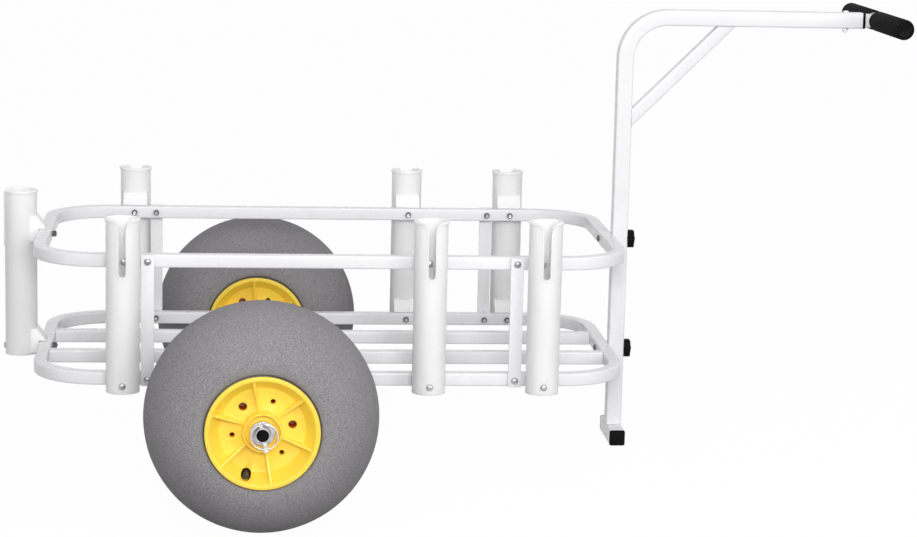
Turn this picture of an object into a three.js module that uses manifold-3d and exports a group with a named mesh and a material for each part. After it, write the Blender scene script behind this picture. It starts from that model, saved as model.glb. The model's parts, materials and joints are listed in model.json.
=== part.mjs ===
// Fishing trolley: a basket of two bent rail rings on two balloon wheels, seven rod holders round it,
// and a bent handle post with a ground foot, a brace and a T-handle. Millimetres, +Z up.
//
// It is drawn level first: the axle's centre is the origin, +X points to the handle and -Y to the
// right side. Then the whole drawing leans about the axle until the foot meets the ground, and it
// moves so that the origin lies on the ground under the middle of its box.
import * as THREE from "three";
import { mergeVertices } from "three/addons/utils/BufferGeometryUtils.js";
import Module from "manifold-3d";

// Clearances
const seatGap = 0.3; // between pieces that rest on each other
const overrun = 6; // how far a cut runs past the faces that it opens
const weld = 0.001; // vertices closer than this are one

// Rails
const railTube = 19;
const railWall = 1.5;
const railEdge = 1.6; // chamfer along a tube's edges
const basketWidth = 450; // between the side rails' centres
const basketRear = 323.5; // from the axle back to the rear rail's centre
const basketFront = 532.5; // from the axle forward to the front rail's centre
const railBend = 91.5; // corner radius at the tube's centre
const railRise = 172.7; // from the lower ring to the upper ring
const slatSpacing = 148.4;
const bendSteps = 8;

// Uprights
const uprightWidth = 19;
const uprightThickness = 6;
const uprightStations = { rear: -163.2, front: 370 };

// Bolts
const boltDiameter = 6;
const boltHeadDiameter = 11;
const boltHeadHeight = 2.8;
const boltTail = 8; // thread that stands past the last piece, where the nut sits
const boltSides = 6;

// Rod holders
const pipeDiameter = 48.3;
const pipeWall = 3.6;
const pipeLength = 252;
const pipeDrop = 2.3; // below the lower ring's underside
const rimFlare = 2.3;
const rimHeight = 5.5;
const rimRound = 1.6;
const slotWidth = 9;
const slotDepth = 82;
const mouthWidth = 31;
const mouthDepth = 18;
const lipReach = 3.6; // the raised border beside the slot
const lipProud = 1.2; // the border's flat face, in front of the pipe
const lipFoot = 8; // the border's point, below the slot's end
const padWidth = 38;
const padReach = 3.7; // from the pipe to the rail
const padRise = 19; // sloping top, above the rail
const padLip = 1.6; // the slope's toe on top of the rail
const pipeSides = 16;
const holderStations = { rear: -197.5, middle: 242, front: 407.5 };

// Axle
const axleDiameter = 20.4;
const axleWall = 1.5;
const axleReach = 113.3; // past the wheel's mid-plane
const axleSides = 12;
const beamTube = 26;
const axlePlugLength = 4.3;

// Wheels
const wheelDiameter = 330;
const wheelTrack = 745; // between the wheels' mid-planes
const tyreWidth = 195;
const tyreWall = 4.5;
const tyreSides = 28;
const tyreSkinShares = [
  [0, 0.95],
  [0.14, 1],
  [0.42, 0.93],
  [0.68, 0.74],
  [0.88, 0.47],
  [1, 0.13],
]; // each point's share of the height from the hub to the crown, and of the half width
const tyreLiningShares = [
  [0, 0.94],
  [0.45, 0.88],
  [0.97, 0.25],
];

// Hubs
const hubSides = 18;
const lipRadius = 79.2;
const lipWidth = 6;
const lipDepth = 5.3;
const hubFace = 102.2; // from the mid-plane to the lip's face
const barrelRadius = 76;
const hubWall = 3;
const dishRadius = 60;
const dishDepth = 25;
const ringRadius = 27;
const ringWall = 2.6;
const ringDrop = 3.5; // the ring's edge, below the lip's face
const recessDrop = 13; // the recess inside the ring
const bossRadius = 16;
const bossDrop = 6.8;
const ribCount = 6;
const ribThickness = 3.6;
const ribFirstAngle = 100; // degrees from +X towards +Z
const ribFootHeight = 6.5; // above the dish at the ring
const ribTopDrop = 4; // below the lip's face at the wall
const ventCircle = 42;
const largeVent = 12.1;
const smallVent = 7.5;
const ventSides = 8;
const valveSector = 2; // the valve takes the place of this sector's vent, counted from the first rib
const valveCircle = 64.5;
const valveHole = 14;
const valveDiameter = 9.4;
const valveTop = 5; // the cap's end, below the lip's face
const valveLength = 26;
const valveNeck = 6.6;

// Bushes, washers and linch pins
const bushWall = 2.4;
const bushFlange = 2;
const bushFlangeRadius = 15.4;
const washerRadius = 17;
const washerThickness = 2.5;
const linchDiameter = 6;
const linchLean = 13; // degrees from upright
const linchTip = 20.5; // tip's distance from the axle's centre
const linchHeadAt = 21.5; // the cross hole's distance from the axle's centre
const linchHeadDiameter = 9;
const linchHeadLength = 8;
const wireDiameter = 2.4;
const wireRingRadius = 18.3;
const wireEyeGap = 0.9; // between the wire and the pin's cross hole
const wireEnd = 2; // each wire end stops this far from the pin's middle
const wireSides = 5;
const wireSteps = 15;

// Handle post, brace and foot
const handleTube = 24;
const handleWall = 1.5;
const armHeight = 538.2; // the arm's centre above the axle
const armEnd = 918.7;
const postBend = 64;
const braceTube = 19;
const braceReach = 142; // along the post and along the arm, from their corner
const footHeight = -109.6; // the foot's centre
const footWidth = 105.2; // over its caps
const capThickness = 3;
const capPlug = 12;

// T-handle
const gripSpan = 333.8;
const gripDiameter = 31;
const gripInner = 13; // from the middle to a grip's inner end
const barDiameter = 24;
const barWall = 1.5;
const barAhead = 24.3; // from the arm's end to the bar's centre
const barPlugLength = 2.2;
const barPlugDepth = 10;
const stemLength = 62;
const collarThickness = 4;
const handleBoltBack = 24.3; // from the arm's end back to the bolt
const barSides = 14;

// Knobs
const knobDiameter = 29;
const knobThickness = 10.2;
const knobBossDiameter = 12.4;
const knobBossEndDiameter = 4;
const knobBossHeight = 2.3;
const knobLobes = 6;
const knobLobeDepth = 1.8;
const knobEdge = 1.4;
const knobBore = 8; // depth of the threaded hole
const knobStepsPerLobe = 3;

// Sizes that follow from the ones above
const half = 1 / 2;
const degree = Math.PI / 180;
const lowerHeight = beamTube * half + seatGap + railTube * half;
const upperHeight = lowerHeight + railRise;
const railSide = basketWidth * half;
const railFace = railSide + railTube * half;
const postX = basketFront + railTube * half + seatGap + handleTube * half;
const wheelRadius = wheelDiameter * half;
const wheelSide = wheelTrack * half;
const axleRadius = axleDiameter * half;
const boltRadius = boltDiameter * half;
const boltHole = overFlats(boltRadius + seatGap, boltSides);
const pipeRadius = pipeDiameter * half;
const pipeOffset = railTube * half + seatGap + padReach + pipeRadius; // from a rail's centre
const pipeBottom = lowerHeight - railTube * half - pipeDrop;
const pipeTop = pipeBottom + pipeLength;
const dishFloor = hubFace - dishDepth;
const recessFloor = hubFace - recessDrop;
const bossEnd = hubFace - bossDrop;
const valveAngle = ribFirstAngle + (360 / ribCount) * (valveSector + half);
const boreRadius = axleRadius + seatGap + bushWall + seatGap;
const bushEnd = bossEnd + seatGap + bushFlange;
const washerFace = bushEnd + seatGap + washerThickness;
const linchStation = washerFace + seatGap + linchHeadDiameter * half;
const barX = armEnd + barAhead;

const paint = { color: 0xeceef2, roughness: 0.32, metalness: 0.1 };
const whitePlastic = { color: 0xe6e8ec, roughness: 0.42, metalness: 0 };
const yellowPlastic = { color: 0xffdc32, roughness: 0.4, metalness: 0 };
const blackPlastic = { color: 0x17171a, roughness: 0.5, metalness: 0 };
const tyreRubber = { color: 0x8c8a8a, roughness: 0.85, metalness: 0 };
const foam = { color: 0x2a2a2c, roughness: 0.95, metalness: 0 };
const steel = { color: 0xb9bcc2, roughness: 0.3, metalness: 0.9 };
const bushPlastic = { color: 0xd9d9d4, roughness: 0.5, metalness: 0 };

const wasm = await Module();
wasm.setup();

// A closed geometry as a solid that can be joined and cut.
function solid(geometry) {
  const bare = geometry.clone();
  bare.deleteAttribute("normal");
  bare.deleteAttribute("uv");
  const merged = mergeVertices(bare, weld);
  return new wasm.Manifold(
    new wasm.Mesh({
      numProp: 3,
      vertProperties: merged.attributes.position.array,
      triVerts: new Uint32Array(merged.index.array),
    })
  );
}

// A solid back as a geometry with flat faces.
function geometryOf(made) {
  const { vertProperties, triVerts, numProp } = made.getMesh();
  const positions = new Float32Array(triVerts.length * 3);
  triVerts.forEach((vertex, corner) => {
    for (let axis = 0; axis < 3; axis++) {
      positions[corner * 3 + axis] = vertProperties[vertex * numProp + axis];
    }
  });
  const geometry = new THREE.BufferGeometry();
  geometry.setAttribute("position", new THREE.BufferAttribute(positions, 3));
  geometry.computeVertexNormals();
  return geometry;
}

function joined(first, ...others) {
  return others.reduce((sum, next) => sum.add(next), first);
}

function cutBy(first, ...others) {
  return others.reduce((rest, next) => rest.subtract(next), first);
}

// A radius whose flats, not corners, lie at the wanted distance.
function overFlats(radius, sides) {
  return radius / Math.cos(Math.PI / sides);
}

// A round rod between two points.
function rod(radius, from, to, sides) {
  const start = new THREE.Vector3(...from);
  const along = new THREE.Vector3(...to).sub(start);
  const geometry = new THREE.CylinderGeometry(radius, radius, along.length(), sides);
  const turn = new THREE.Quaternion().setFromUnitVectors(
    new THREE.Vector3(0, 1, 0),
    along.clone().normalize()
  );
  geometry.applyQuaternion(turn);
  geometry.translate(...start.addScaledVector(along, half).toArray());
  return solid(geometry);
}

function box(low, high) {
  const size = high.map((value, axis) => value - low[axis]);
  const middle = high.map((value, axis) => (value + low[axis]) * half);
  return solid(new THREE.BoxGeometry(...size).translate(...middle));
}

// A closed profile of [radius, height] points turned about the Y axis.
function turned(profile, sides) {
  const points = profile.map(([radius, height]) => new THREE.Vector2(radius, height));
  points.push(points[0].clone());
  const geometry = new THREE.LatheGeometry(points, sides);
  geometry.rotateY(Math.PI / sides);
  return geometry;
}

// A square outline with cut corners, or a plain one where the edge is zero.
function squareOutline(size, edge) {
  const far = size * half;
  const near = far - edge;
  const corners = [
    [1, -1],
    [1, 1],
    [-1, 1],
    [-1, -1],
  ];
  const points = corners.flatMap(([x, y]) => {
    const first = x * y > 0 ? [x * far, y * near] : [x * near, y * far];
    const second = x * y > 0 ? [x * near, y * far] : [x * far, y * near];
    return edge > 0 ? [first, second] : [[x * far, y * far]];
  });
  return points.map(([x, y]) => new THREE.Vector2(x, y));
}

// A square tube, open at both ends, along Z.
function squareTube(size, wall, edge, length) {
  const section = new THREE.Shape(squareOutline(size, edge));
  section.holes.push(new THREE.Path(squareOutline(size - 2 * wall, 0)));
  const geometry = new THREE.ExtrudeGeometry(section, { depth: length, bevelEnabled: false });
  return geometry.translate(0, 0, -length * half);
}

// A flat shape, drawn in X and Z, made into a plate across Y, with chamfered rims.
function plateAcross(shape, thickness, edge, curveSegments) {
  const geometry = new THREE.ExtrudeGeometry(shape, {
    depth: thickness - 2 * edge,
    bevelEnabled: edge > 0,
    bevelThickness: edge,
    bevelSize: edge,
    bevelOffset: -edge,
    bevelSegments: 1,
    curveSegments,
  });
  geometry.translate(0, 0, edge - thickness * half);
  return geometry.rotateX(Math.PI * half);
}

// Rail rings

// The ring's plan, moved outwards from the tube's centre line.
function ringPlan(Kind, outwards) {
  const radius = railBend + outwards;
  const frontX = basketFront - railBend;
  const rearX = railBend - basketRear;
  const sideY = railSide - railBend;
  const plan = new Kind();
  plan.absarc(frontX, sideY, radius, 0, 90 * degree);
  plan.absarc(rearX, sideY, radius, 90 * degree, 180 * degree);
  plan.absarc(rearX, -sideY, radius, 180 * degree, 270 * degree);
  plan.absarc(frontX, -sideY, radius, 270 * degree, 360 * degree);
  plan.closePath();
  return plan;
}

function ringSolid(height, inset, edge) {
  const reach = railTube * half - inset;
  const plan = ringPlan(THREE.Shape, reach);
  plan.holes.push(ringPlan(THREE.Path, -reach));
  const geometry = new THREE.ExtrudeGeometry(plan, {
    depth: 2 * (reach - edge),
    bevelEnabled: edge > 0,
    bevelThickness: edge,
    bevelSize: edge,
    bevelOffset: -edge,
    bevelSegments: 1,
    curveSegments: bendSteps * half,
  });
  return solid(geometry.translate(0, 0, height - reach + edge));
}

// Where bolts cross the rings, as rods from outside the rail to inside it.
function railBoltLines(height) {
  const outer = railFace + overrun;
  const inner = railSide - railTube * half - overrun;
  const lines = [];
  for (const side of [-1, 1]) {
    for (const x of [...Object.values(uprightStations), ...Object.values(holderStations)]) {
      lines.push([
        [x, side * outer, height],
        [x, side * inner, height],
      ]);
    }
  }
  for (const end of [-basketRear, basketFront]) {
    const reach = railTube * half + overrun;
    lines.push([
      [end - reach, 0, height],
      [end + reach, 0, height],
    ]);
  }
  return lines;
}

function railRing(height) {
  const holes = railBoltLines(height).map(([from, to]) => rod(boltHole, from, to, boltSides));
  return cutBy(ringSolid(height, 0, railEdge), ringSolid(height, railWall, 0), ...holes);
}

function floorSlat(side) {
  const front = basketFront - railTube * half - seatGap;
  const rear = railTube * half + seatGap - basketRear;
  const tube = squareTube(railTube, railWall, railEdge, front - rear);
  tube.rotateY(Math.PI * half);
  return solid(tube.translate((front + rear) * half, side * slatSpacing * half, lowerHeight));
}

// Uprights

function uprightBar(x, side) {
  const low = lowerHeight - railTube * half;
  const high = upperHeight + railTube * half;
  const near = railFace + seatGap;
  const far = near + uprightThickness;
  const halfWidth = uprightWidth * half;
  const edge = railEdge * half;
  const outline = new THREE.Shape();
  outline.moveTo(x - halfWidth, near);
  outline.lineTo(x + halfWidth, near);
  outline.lineTo(x + halfWidth, far - edge);
  outline.lineTo(x + halfWidth - edge, far);
  outline.lineTo(x - halfWidth + edge, far);
  outline.lineTo(x - halfWidth, far - edge);
  const bar = new THREE.ExtrudeGeometry(outline, { depth: high - low, bevelEnabled: false });
  bar.translate(0, 0, low);
  if (side < 0) bar.rotateZ(Math.PI).translate(2 * x, 0, 0);
  const holes = [lowerHeight, upperHeight].map((height) =>
    rod(boltHole, [x, side * (near - overrun), height], [x, side * (far + overrun), height], boltSides)
  );
  return cutBy(solid(bar), ...holes);
}

// Rod holders: drawn with the pipe's axis on Z, the slot towards -Y and the rail towards +Y.

function slotCutter() {
  const halfSlot = slotWidth * half;
  const halfMouth = mouthWidth * half;
  const slotEnd = pipeTop - slotDepth + halfSlot;
  const mouthEnd = pipeTop - mouthDepth;
  const shoulder = mouthDepth * half;
  const outline = new THREE.Shape();
  outline.moveTo(halfSlot, slotEnd);
  outline.lineTo(halfSlot, mouthEnd);
  outline.quadraticCurveTo(halfSlot, pipeTop - shoulder, halfMouth, pipeTop);
  outline.lineTo(halfMouth, pipeTop + overrun);
  outline.lineTo(-halfMouth, pipeTop + overrun);
  outline.lineTo(-halfMouth, pipeTop);
  outline.quadraticCurveTo(-halfSlot, pipeTop - shoulder, -halfSlot, mouthEnd);
  outline.lineTo(-halfSlot, slotEnd);
  outline.absarc(0, slotEnd, halfSlot, 180 * degree, 360 * degree);
  const depth = pipeRadius + rimFlare + overrun;
  const cutter = plateAcross(outline, depth, 0, 2);
  return solid(cutter.translate(0, -depth * half, 0));
}

// The raised border on both sides of the slot, with a flat face and a pointed foot.
function slotBorder() {
  const reach = slotWidth * half + lipReach;
  const top = pipeTop - rimHeight;
  const slotEnd = pipeTop - slotDepth;
  const outline = new THREE.Shape();
  outline.moveTo(0, slotEnd - lipFoot);
  outline.lineTo(reach, slotEnd);
  outline.lineTo(reach, top);
  outline.lineTo(-reach, top);
  outline.lineTo(-reach, slotEnd);
  const front = pipeRadius + lipProud;
  const back = pipeRadius - pipeWall;
  const border = plateAcross(outline, front - back, 0, 1);
  return solid(border.translate(0, -(front + back) * half, 0));
}

function mountingPad(height) {
  const railTop = height + railTube * half;
  const face = pipeRadius + padReach;
  const railMiddle = pipeOffset;
  const outline = new THREE.Shape();
  outline.moveTo(0, height - railTube * half);
  outline.lineTo(face, height - railTube * half);
  outline.lineTo(face, railTop + seatGap);
  outline.lineTo(railMiddle, railTop + seatGap);
  outline.lineTo(railMiddle, railTop + seatGap + padLip);
  outline.lineTo(pipeRadius, railTop + padRise);
  outline.lineTo(0, railTop + padRise);
  const pad = plateAcross(outline, padWidth, 0, 1);
  return solid(pad.rotateZ(Math.PI * half));
}

function holderBody() {
  const rim = pipeRadius + rimFlare;
  const bore = pipeRadius - pipeWall;
  const outside = turned(
    [
      [0, pipeBottom],
      [pipeRadius, pipeBottom],
      [pipeRadius, pipeTop - rimHeight],
      [rim, pipeTop - rimRound],
      [rim - rimRound, pipeTop],
      [0, pipeTop],
    ],
    pipeSides
  );
  const inside = turned(
    [
      [0, pipeBottom - overrun],
      [bore, pipeBottom - overrun],
      [bore, pipeTop + overrun],
      [0, pipeTop + overrun],
    ],
    pipeSides
  );
  const pads = [lowerHeight, upperHeight].map(mountingPad);
  const outer = pipeRadius + rimFlare + overrun;
  const lowerBolt = rod(boltHole, [0, -outer, lowerHeight], [0, outer, lowerHeight], boltSides);
  const upperBolt = rod(boltHole, [0, 0, upperHeight], [0, outer, upperHeight], boltSides);
  const upright = (geometry) => solid(geometry.rotateX(Math.PI * half));
  const body = joined(upright(outside), slotBorder(), ...pads);
  return cutBy(body, upright(inside), slotCutter(), lowerBolt, upperBolt);
}

// The bolt across a holder's lower end, which the rod's butt rests on.
function holderBolt() {
  const headFrom = -pipeRadius - seatGap;
  const end = pipeRadius + padReach + seatGap + railTube + boltTail;
  const headRound = boltHeadHeight * half;
  const headRadius = boltHeadDiameter * half;
  const profile = [
    [0, headFrom - boltHeadHeight],
    [headRadius - headRound, headFrom - boltHeadHeight],
    [headRadius, headFrom - headRound],
    [headRadius, headFrom],
    [boltRadius, headFrom],
    [boltRadius, end],
    [0, end],
  ];
  return solid(turned(profile, boltSides).translate(0, 0, lowerHeight));
}

// Axle and its beam

function axleBeam() {
  const length = 2 * (wheelSide - bossEnd - seatGap - bushFlange - seatGap);
  const wall = beamTube * half - axleRadius - seatGap;
  return solid(squareTube(beamTube, wall, railEdge, length).rotateX(Math.PI * half));
}

// The linch pin's line across the axle at one end, seen from outside the right wheel.
function linchLine(side) {
  const tilt = linchLean * degree;
  const towardsTip = new THREE.Vector3(side * Math.sin(tilt), 0, Math.cos(tilt));
  return { towardsTip, y: side * (wheelSide + linchStation) };
}

function axleTube() {
  const end = wheelSide + axleReach;
  const inner = axleRadius - axleWall;
  const tube = turned(
    [
      [inner, -end],
      [axleRadius, -end],
      [axleRadius, end],
      [inner, end],
    ],
    axleSides
  );
  const holes = [-1, 1].map((side) => {
    const { towardsTip, y } = linchLine(side);
    const reach = towardsTip.clone().multiplyScalar(axleRadius + overrun);
    return rod(boltHole, [-reach.x, y, -reach.z], [reach.x, y, reach.z], boltSides);
  });
  return cutBy(solid(tube), ...holes);
}

// Wheels: drawn with the mid-plane at Y zero and the outer side towards -Y.

function facingOut(profile, sides) {
  return solid(turned(profile, sides).rotateX(Math.PI));
}

function tyreShell() {
  const bead = overFlats(barrelRadius + seatGap, tyreSides);
  const crown = overFlats(wheelRadius, tyreSides);
  const halfWidth = tyreWidth * half;
  const arch = (shares, wall) => {
    const one = shares.map(([rise, width]) => [
      bead + (crown - bead - wall) * rise,
      (halfWidth - wall) * width,
    ]);
    return [...one, ...one.map(([radius, y]) => [radius, -y]).reverse()];
  };
  const profile = [...arch(tyreLiningShares, tyreWall), ...arch(tyreSkinShares, 0).reverse()];
  return facingOut(profile, tyreSides);
}

function hubRib(angle) {
  const inner = ringRadius - ringWall * half;
  const outer = lipRadius - lipWidth + hubWall * half;
  const outline = new THREE.Shape();
  outline.moveTo(inner, dishFloor - hubWall * half);
  outline.lineTo(inner, dishFloor + ribFootHeight);
  outline.lineTo(outer, hubFace - ribTopDrop);
  outline.lineTo(outer, hubFace - lipDepth);
  outline.lineTo(dishRadius + hubWall * half, dishFloor - hubWall * half);
  const rib = new THREE.ExtrudeGeometry(outline, { depth: ribThickness, bevelEnabled: false });
  rib.translate(0, 0, -ribThickness * half);
  rib.rotateX(Math.PI);
  return solid(rib.rotateY(-angle * degree));
}

// A straight cut through the dish, at a place on a circle round the axle.
function dishHole(diameter, circle, angle) {
  const x = circle * Math.cos(angle * degree);
  const z = circle * Math.sin(angle * degree);
  return rod(diameter * half, [x, -hubFace, z], [x, -dishFloor + hubWall + overrun, z], ventSides);
}

function hubHalf(withValve) {
  const split = seatGap * half;
  const lipInner = lipRadius - lipWidth;
  const under = hubFace - lipDepth;
  const profile = [
    [barrelRadius, split],
    [barrelRadius, under],
    [lipRadius, under],
    [lipRadius, hubFace],
    [lipInner, hubFace],
    [dishRadius, dishFloor],
    [ringRadius, dishFloor],
    [ringRadius, hubFace - ringDrop],
    [ringRadius - ringWall, hubFace - ringDrop],
    [ringRadius - ringWall, recessFloor],
    [bossRadius, recessFloor],
    [bossRadius, bossEnd],
    [overFlats(boreRadius, hubSides), bossEnd],
    [overFlats(boreRadius, hubSides), split],
    [bossRadius, split],
    [bossRadius, dishFloor - hubWall],
    [dishRadius + hubWall * half, dishFloor - hubWall],
    [lipInner, under - hubWall],
    [barrelRadius - hubWall, split],
  ];
  const ribs = [];
  const holes = [];
  for (let index = 0; index < ribCount; index++) {
    const angle = ribFirstAngle + (360 / ribCount) * index;
    ribs.push(hubRib(angle));
    const between = angle + 180 / ribCount;
    const large = index % 2 === 0;
    if (!withValve || index !== valveSector) holes.push(dishHole(large ? largeVent : smallVent, ventCircle, between));
  }
  if (withValve) {
    holes.push(dishHole(valveHole, valveCircle, valveAngle));
    const { neckOuter, neckInner } = valveNeckLine();
    holes.push(rod(valveNeck * half + seatGap, neckInner, neckOuter(overrun), ventSides));
  }
  return cutBy(joined(facingOut(profile, hubSides), ...ribs), ...holes);
}

// Valve: a cap and stem in the dish's hole, and a neck that comes out of the barrel.

function valvePoint(circle, depth) {
  const angle = valveAngle * degree;
  return [circle * Math.cos(angle), -depth, circle * Math.sin(angle)];
}

function valveNeckLine() {
  const depth = hubFace - valveTop - valveLength + valveNeck;
  return {
    neckInner: valvePoint(valveCircle, depth),
    neckOuter: (past) => valvePoint(barrelRadius + past, depth),
  };
}

function valve() {
  const top = hubFace - valveTop;
  const stem = rod(
    valveDiameter * half,
    valvePoint(valveCircle, top - valveLength),
    valvePoint(valveCircle, top),
    ventSides
  );
  const { neckInner, neckOuter } = valveNeckLine();
  return joined(stem, rod(valveNeck * half, neckInner, neckOuter(0), ventSides));
}

function bush() {
  const inner = overFlats(axleRadius + seatGap, axleSides);
  const outer = axleRadius + seatGap + bushWall;
  return facingOut(
    [
      [inner, -bushEnd],
      [outer, -bushEnd],
      [outer, bossEnd + seatGap],
      [bushFlangeRadius, bossEnd + seatGap],
      [bushFlangeRadius, bushEnd],
      [inner, bushEnd],
    ],
    axleSides
  );
}

function washer() {
  const inner = overFlats(axleRadius + seatGap, axleSides);
  return facingOut(
    [
      [inner, washerFace - washerThickness],
      [washerRadius, washerFace - washerThickness],
      [washerRadius, washerFace],
      [inner, washerFace],
    ],
    axleSides
  );
}

function axlePlug() {
  const radius = axleRadius - axleWall - seatGap;
  return facingOut(
    [
      [0, axleReach - axlePlugLength],
      [radius, axleReach - axlePlugLength],
      [radius, axleReach],
      [0, axleReach],
    ],
    axleSides
  );
}

// Linch pins: drawn upright across the right wheel's axle end, with the head below.

function linchPin() {
  const y = -linchStation;
  const shank = rod(linchDiameter * half, [0, y, -linchHeadAt], [0, y, linchTip], ventSides);
  const headHalf = linchHeadLength * half;
  const headHigh = -linchHeadAt + headHalf;
  const head = rod(linchHeadDiameter * half, [0, y, headHigh - linchHeadLength], [0, y, headHigh], ventSides);
  const reach = linchHeadDiameter;
  const eye = rod(
    overFlats(wireDiameter * half + wireEyeGap, wireSides),
    [-reach, y, -linchHeadAt],
    [reach, y, -linchHeadAt],
    wireSides
  );
  return cutBy(joined(shank, head), eye);
}

// The wire: both ends enter the pin's cross hole, and the loop stands round the axle's end and leans
// outwards, so that its top lies against the outside of the pin's tip.
class WireLoop extends THREE.Curve {
  getPoint(share, target = new THREE.Vector3()) {
    const clear = (linchDiameter + wireDiameter) * half + seatGap;
    const tilt = Math.asin(clear / (2 * wireRingRadius));
    const startAngle = Math.asin(wireEnd / wireRingRadius);
    const angle = startAngle + share * 2 * (Math.PI - startAngle);
    const x = wireRingRadius * Math.sin(angle);
    const above = wireRingRadius * (1 - Math.cos(angle));
    const y = -linchStation - above * Math.sin(tilt);
    return target.set(x, y, above * Math.cos(tilt) - linchHeadAt);
  }
}

function roundSection(radius, sides) {
  const section = new THREE.Shape();
  for (let index = 0; index < sides; index++) {
    const angle = (2 * Math.PI * index) / sides;
    section.lineTo(radius * Math.cos(angle), radius * Math.sin(angle));
  }
  return section;
}

function wireRing() {
  const section = roundSection(wireDiameter * half, wireSides);
  const loop = new THREE.ExtrudeGeometry(section, { steps: wireSteps, extrudePath: new WireLoop() });
  return solid(loop);
}

// Handle post with its arm, brace and foot

function postShape(inset, past) {
  const reach = handleTube * half - inset;
  const bottom = footHeight + handleTube * half + seatGap - past;
  const bendX = postX + postBend;
  const bendZ = armHeight - postBend;
  const end = armEnd + past;
  const outline = new THREE.Shape();
  outline.moveTo(postX - reach, bottom);
  outline.lineTo(postX + reach, bottom);
  outline.absarc(bendX, bendZ, postBend - reach, 180 * degree, 90 * degree, true);
  outline.lineTo(end, armHeight - reach);
  outline.lineTo(end, armHeight + reach);
  outline.absarc(bendX, bendZ, postBend + reach, 90 * degree, 180 * degree, false);
  return outline;
}

function handlePost() {
  const steps = bendSteps * half;
  const outside = solid(plateAcross(postShape(0, 0), handleTube, railEdge, steps));
  const inside = solid(plateAcross(postShape(handleWall, overrun), handleTube - 2 * handleWall, 0, steps));
  const reach = handleTube * half + overrun;
  const knobHoles = [lowerHeight, upperHeight].map((height) =>
    rod(boltHole, [postX - reach, 0, height], [postX + reach, 0, height], boltSides)
  );
  const boltX = armEnd - handleBoltBack;
  const boltCut = rod(boltHole, [boltX, 0, armHeight - reach], [boltX, 0, armHeight + reach], boltSides);
  return cutBy(outside, inside, ...knobHoles, boltCut);
}

function braceShape(inset, past) {
  const cornerX = postX + handleTube * half + seatGap - past;
  const cornerZ = armHeight - handleTube * half - seatGap + past;
  const offset = (braceTube * half - inset) * Math.SQRT2;
  const rise = armHeight - postX - handleTube - braceReach; // Z minus X along the centre line
  const outline = new THREE.Shape();
  outline.moveTo(cornerX, cornerX + rise - offset);
  outline.lineTo(cornerZ - rise + offset, cornerZ);
  outline.lineTo(cornerZ - rise - offset, cornerZ);
  outline.lineTo(cornerX, cornerX + rise + offset);
  return outline;
}

function handleBrace() {
  const outside = solid(plateAcross(braceShape(0, 0), braceTube, railEdge, 1));
  const inside = solid(plateAcross(braceShape(railWall, overrun), braceTube - 2 * railWall, 0, 1));
  return cutBy(outside, inside);
}

function footBar() {
  const length = footWidth - 2 * (capThickness + seatGap);
  const tube = squareTube(handleTube, handleWall, railEdge, length).rotateX(Math.PI * half);
  return solid(tube.translate(postX, 0, footHeight));
}

// An end cap on the right end of the foot: a flange and a plug inside the tube.
function footCap() {
  const end = -footWidth * half;
  const flange = new THREE.ExtrudeGeometry(new THREE.Shape(squareOutline(handleTube, railEdge)), {
    depth: capThickness,
    bevelEnabled: false,
  });
  flange.rotateX(-Math.PI * half).translate(0, end, 0);
  const reach = handleTube * half - handleWall - seatGap;
  const from = end + capThickness - seatGap;
  const plug = box([-reach, from, -reach], [reach, from + capPlug, reach]);
  return joined(solid(flange), plug);
}

// T-handle, drawn with the bar's middle at the origin and the stem towards -X.

function stemReach() {
  return handleTube * half - handleWall - seatGap;
}

function handleBar() {
  const barRadius = barDiameter * half;
  const length = gripSpan - 2 * (barPlugLength + seatGap);
  const along = (radius, past) =>
    rod(radius, [0, -length * half - past, 0], [0, length * half + past, 0], barSides);
  const reach = stemReach();
  const hollow = reach - barWall;
  const stemEnd = -barAhead - stemLength;
  const stem = box([stemEnd, -reach, -reach], [-barRadius * half, reach, reach]);
  const inside = box([stemEnd - overrun, -hollow, -hollow], [-barRadius, hollow, hollow]);
  const boltX = -barAhead - handleBoltBack;
  const boltCut = rod(boltHole, [boltX, 0, -barRadius], [boltX, 0, barRadius], boltSides);
  return cutBy(joined(along(barRadius, 0), stem), along(barRadius - barWall, overrun), inside, boltCut);
}

function armCollar() {
  const shape = new THREE.Shape(squareOutline(handleTube, railEdge));
  shape.holes.push(new THREE.Path(squareOutline(2 * (stemReach() + seatGap), 0)));
  const collar = new THREE.ExtrudeGeometry(shape, { depth: collarThickness, bevelEnabled: false });
  collar.rotateY(Math.PI * half);
  return solid(collar.translate(armEnd + seatGap, 0, armHeight));
}

function grip() {
  const inner = overFlats(barDiameter * half + seatGap, barSides);
  const outer = gripDiameter * half;
  const end = gripSpan * half;
  const profile = [
    [inner, gripInner],
    [outer - rimRound, gripInner],
    [outer, gripInner + rimRound],
    [outer, end - rimRound],
    [outer - rimRound, end],
    [inner, end],
  ];
  return facingOut(profile, barSides);
}

function barPlug() {
  const end = gripSpan * half;
  const face = end - barPlugLength;
  const insert = barDiameter * half - barWall - seatGap;
  const profile = [
    [0, face - barPlugDepth],
    [insert, face - barPlugDepth],
    [insert, face],
    [barDiameter * half, face],
    [barDiameter * half, end],
    [0, end],
  ];
  return facingOut(profile, barSides);
}

// The upright bolt through the arm and the stem.
function handleBolt() {
  const top = handleTube * half + seatGap;
  const headRadius = boltHeadDiameter * half;
  const headRound = boltHeadHeight * half;
  const profile = [
    [0, -top - boltTail],
    [boltRadius, -top - boltTail],
    [boltRadius, top],
    [headRadius, top],
    [headRadius, top + headRound],
    [headRadius - headRound, top + boltHeadHeight],
    [0, top + boltHeadHeight],
  ];
  const bolt = turned(profile, boltSides).rotateX(Math.PI * half);
  return solid(bolt.translate(armEnd - handleBoltBack, 0, armHeight));
}

// Knobs, drawn along X from the post's front face

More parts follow.
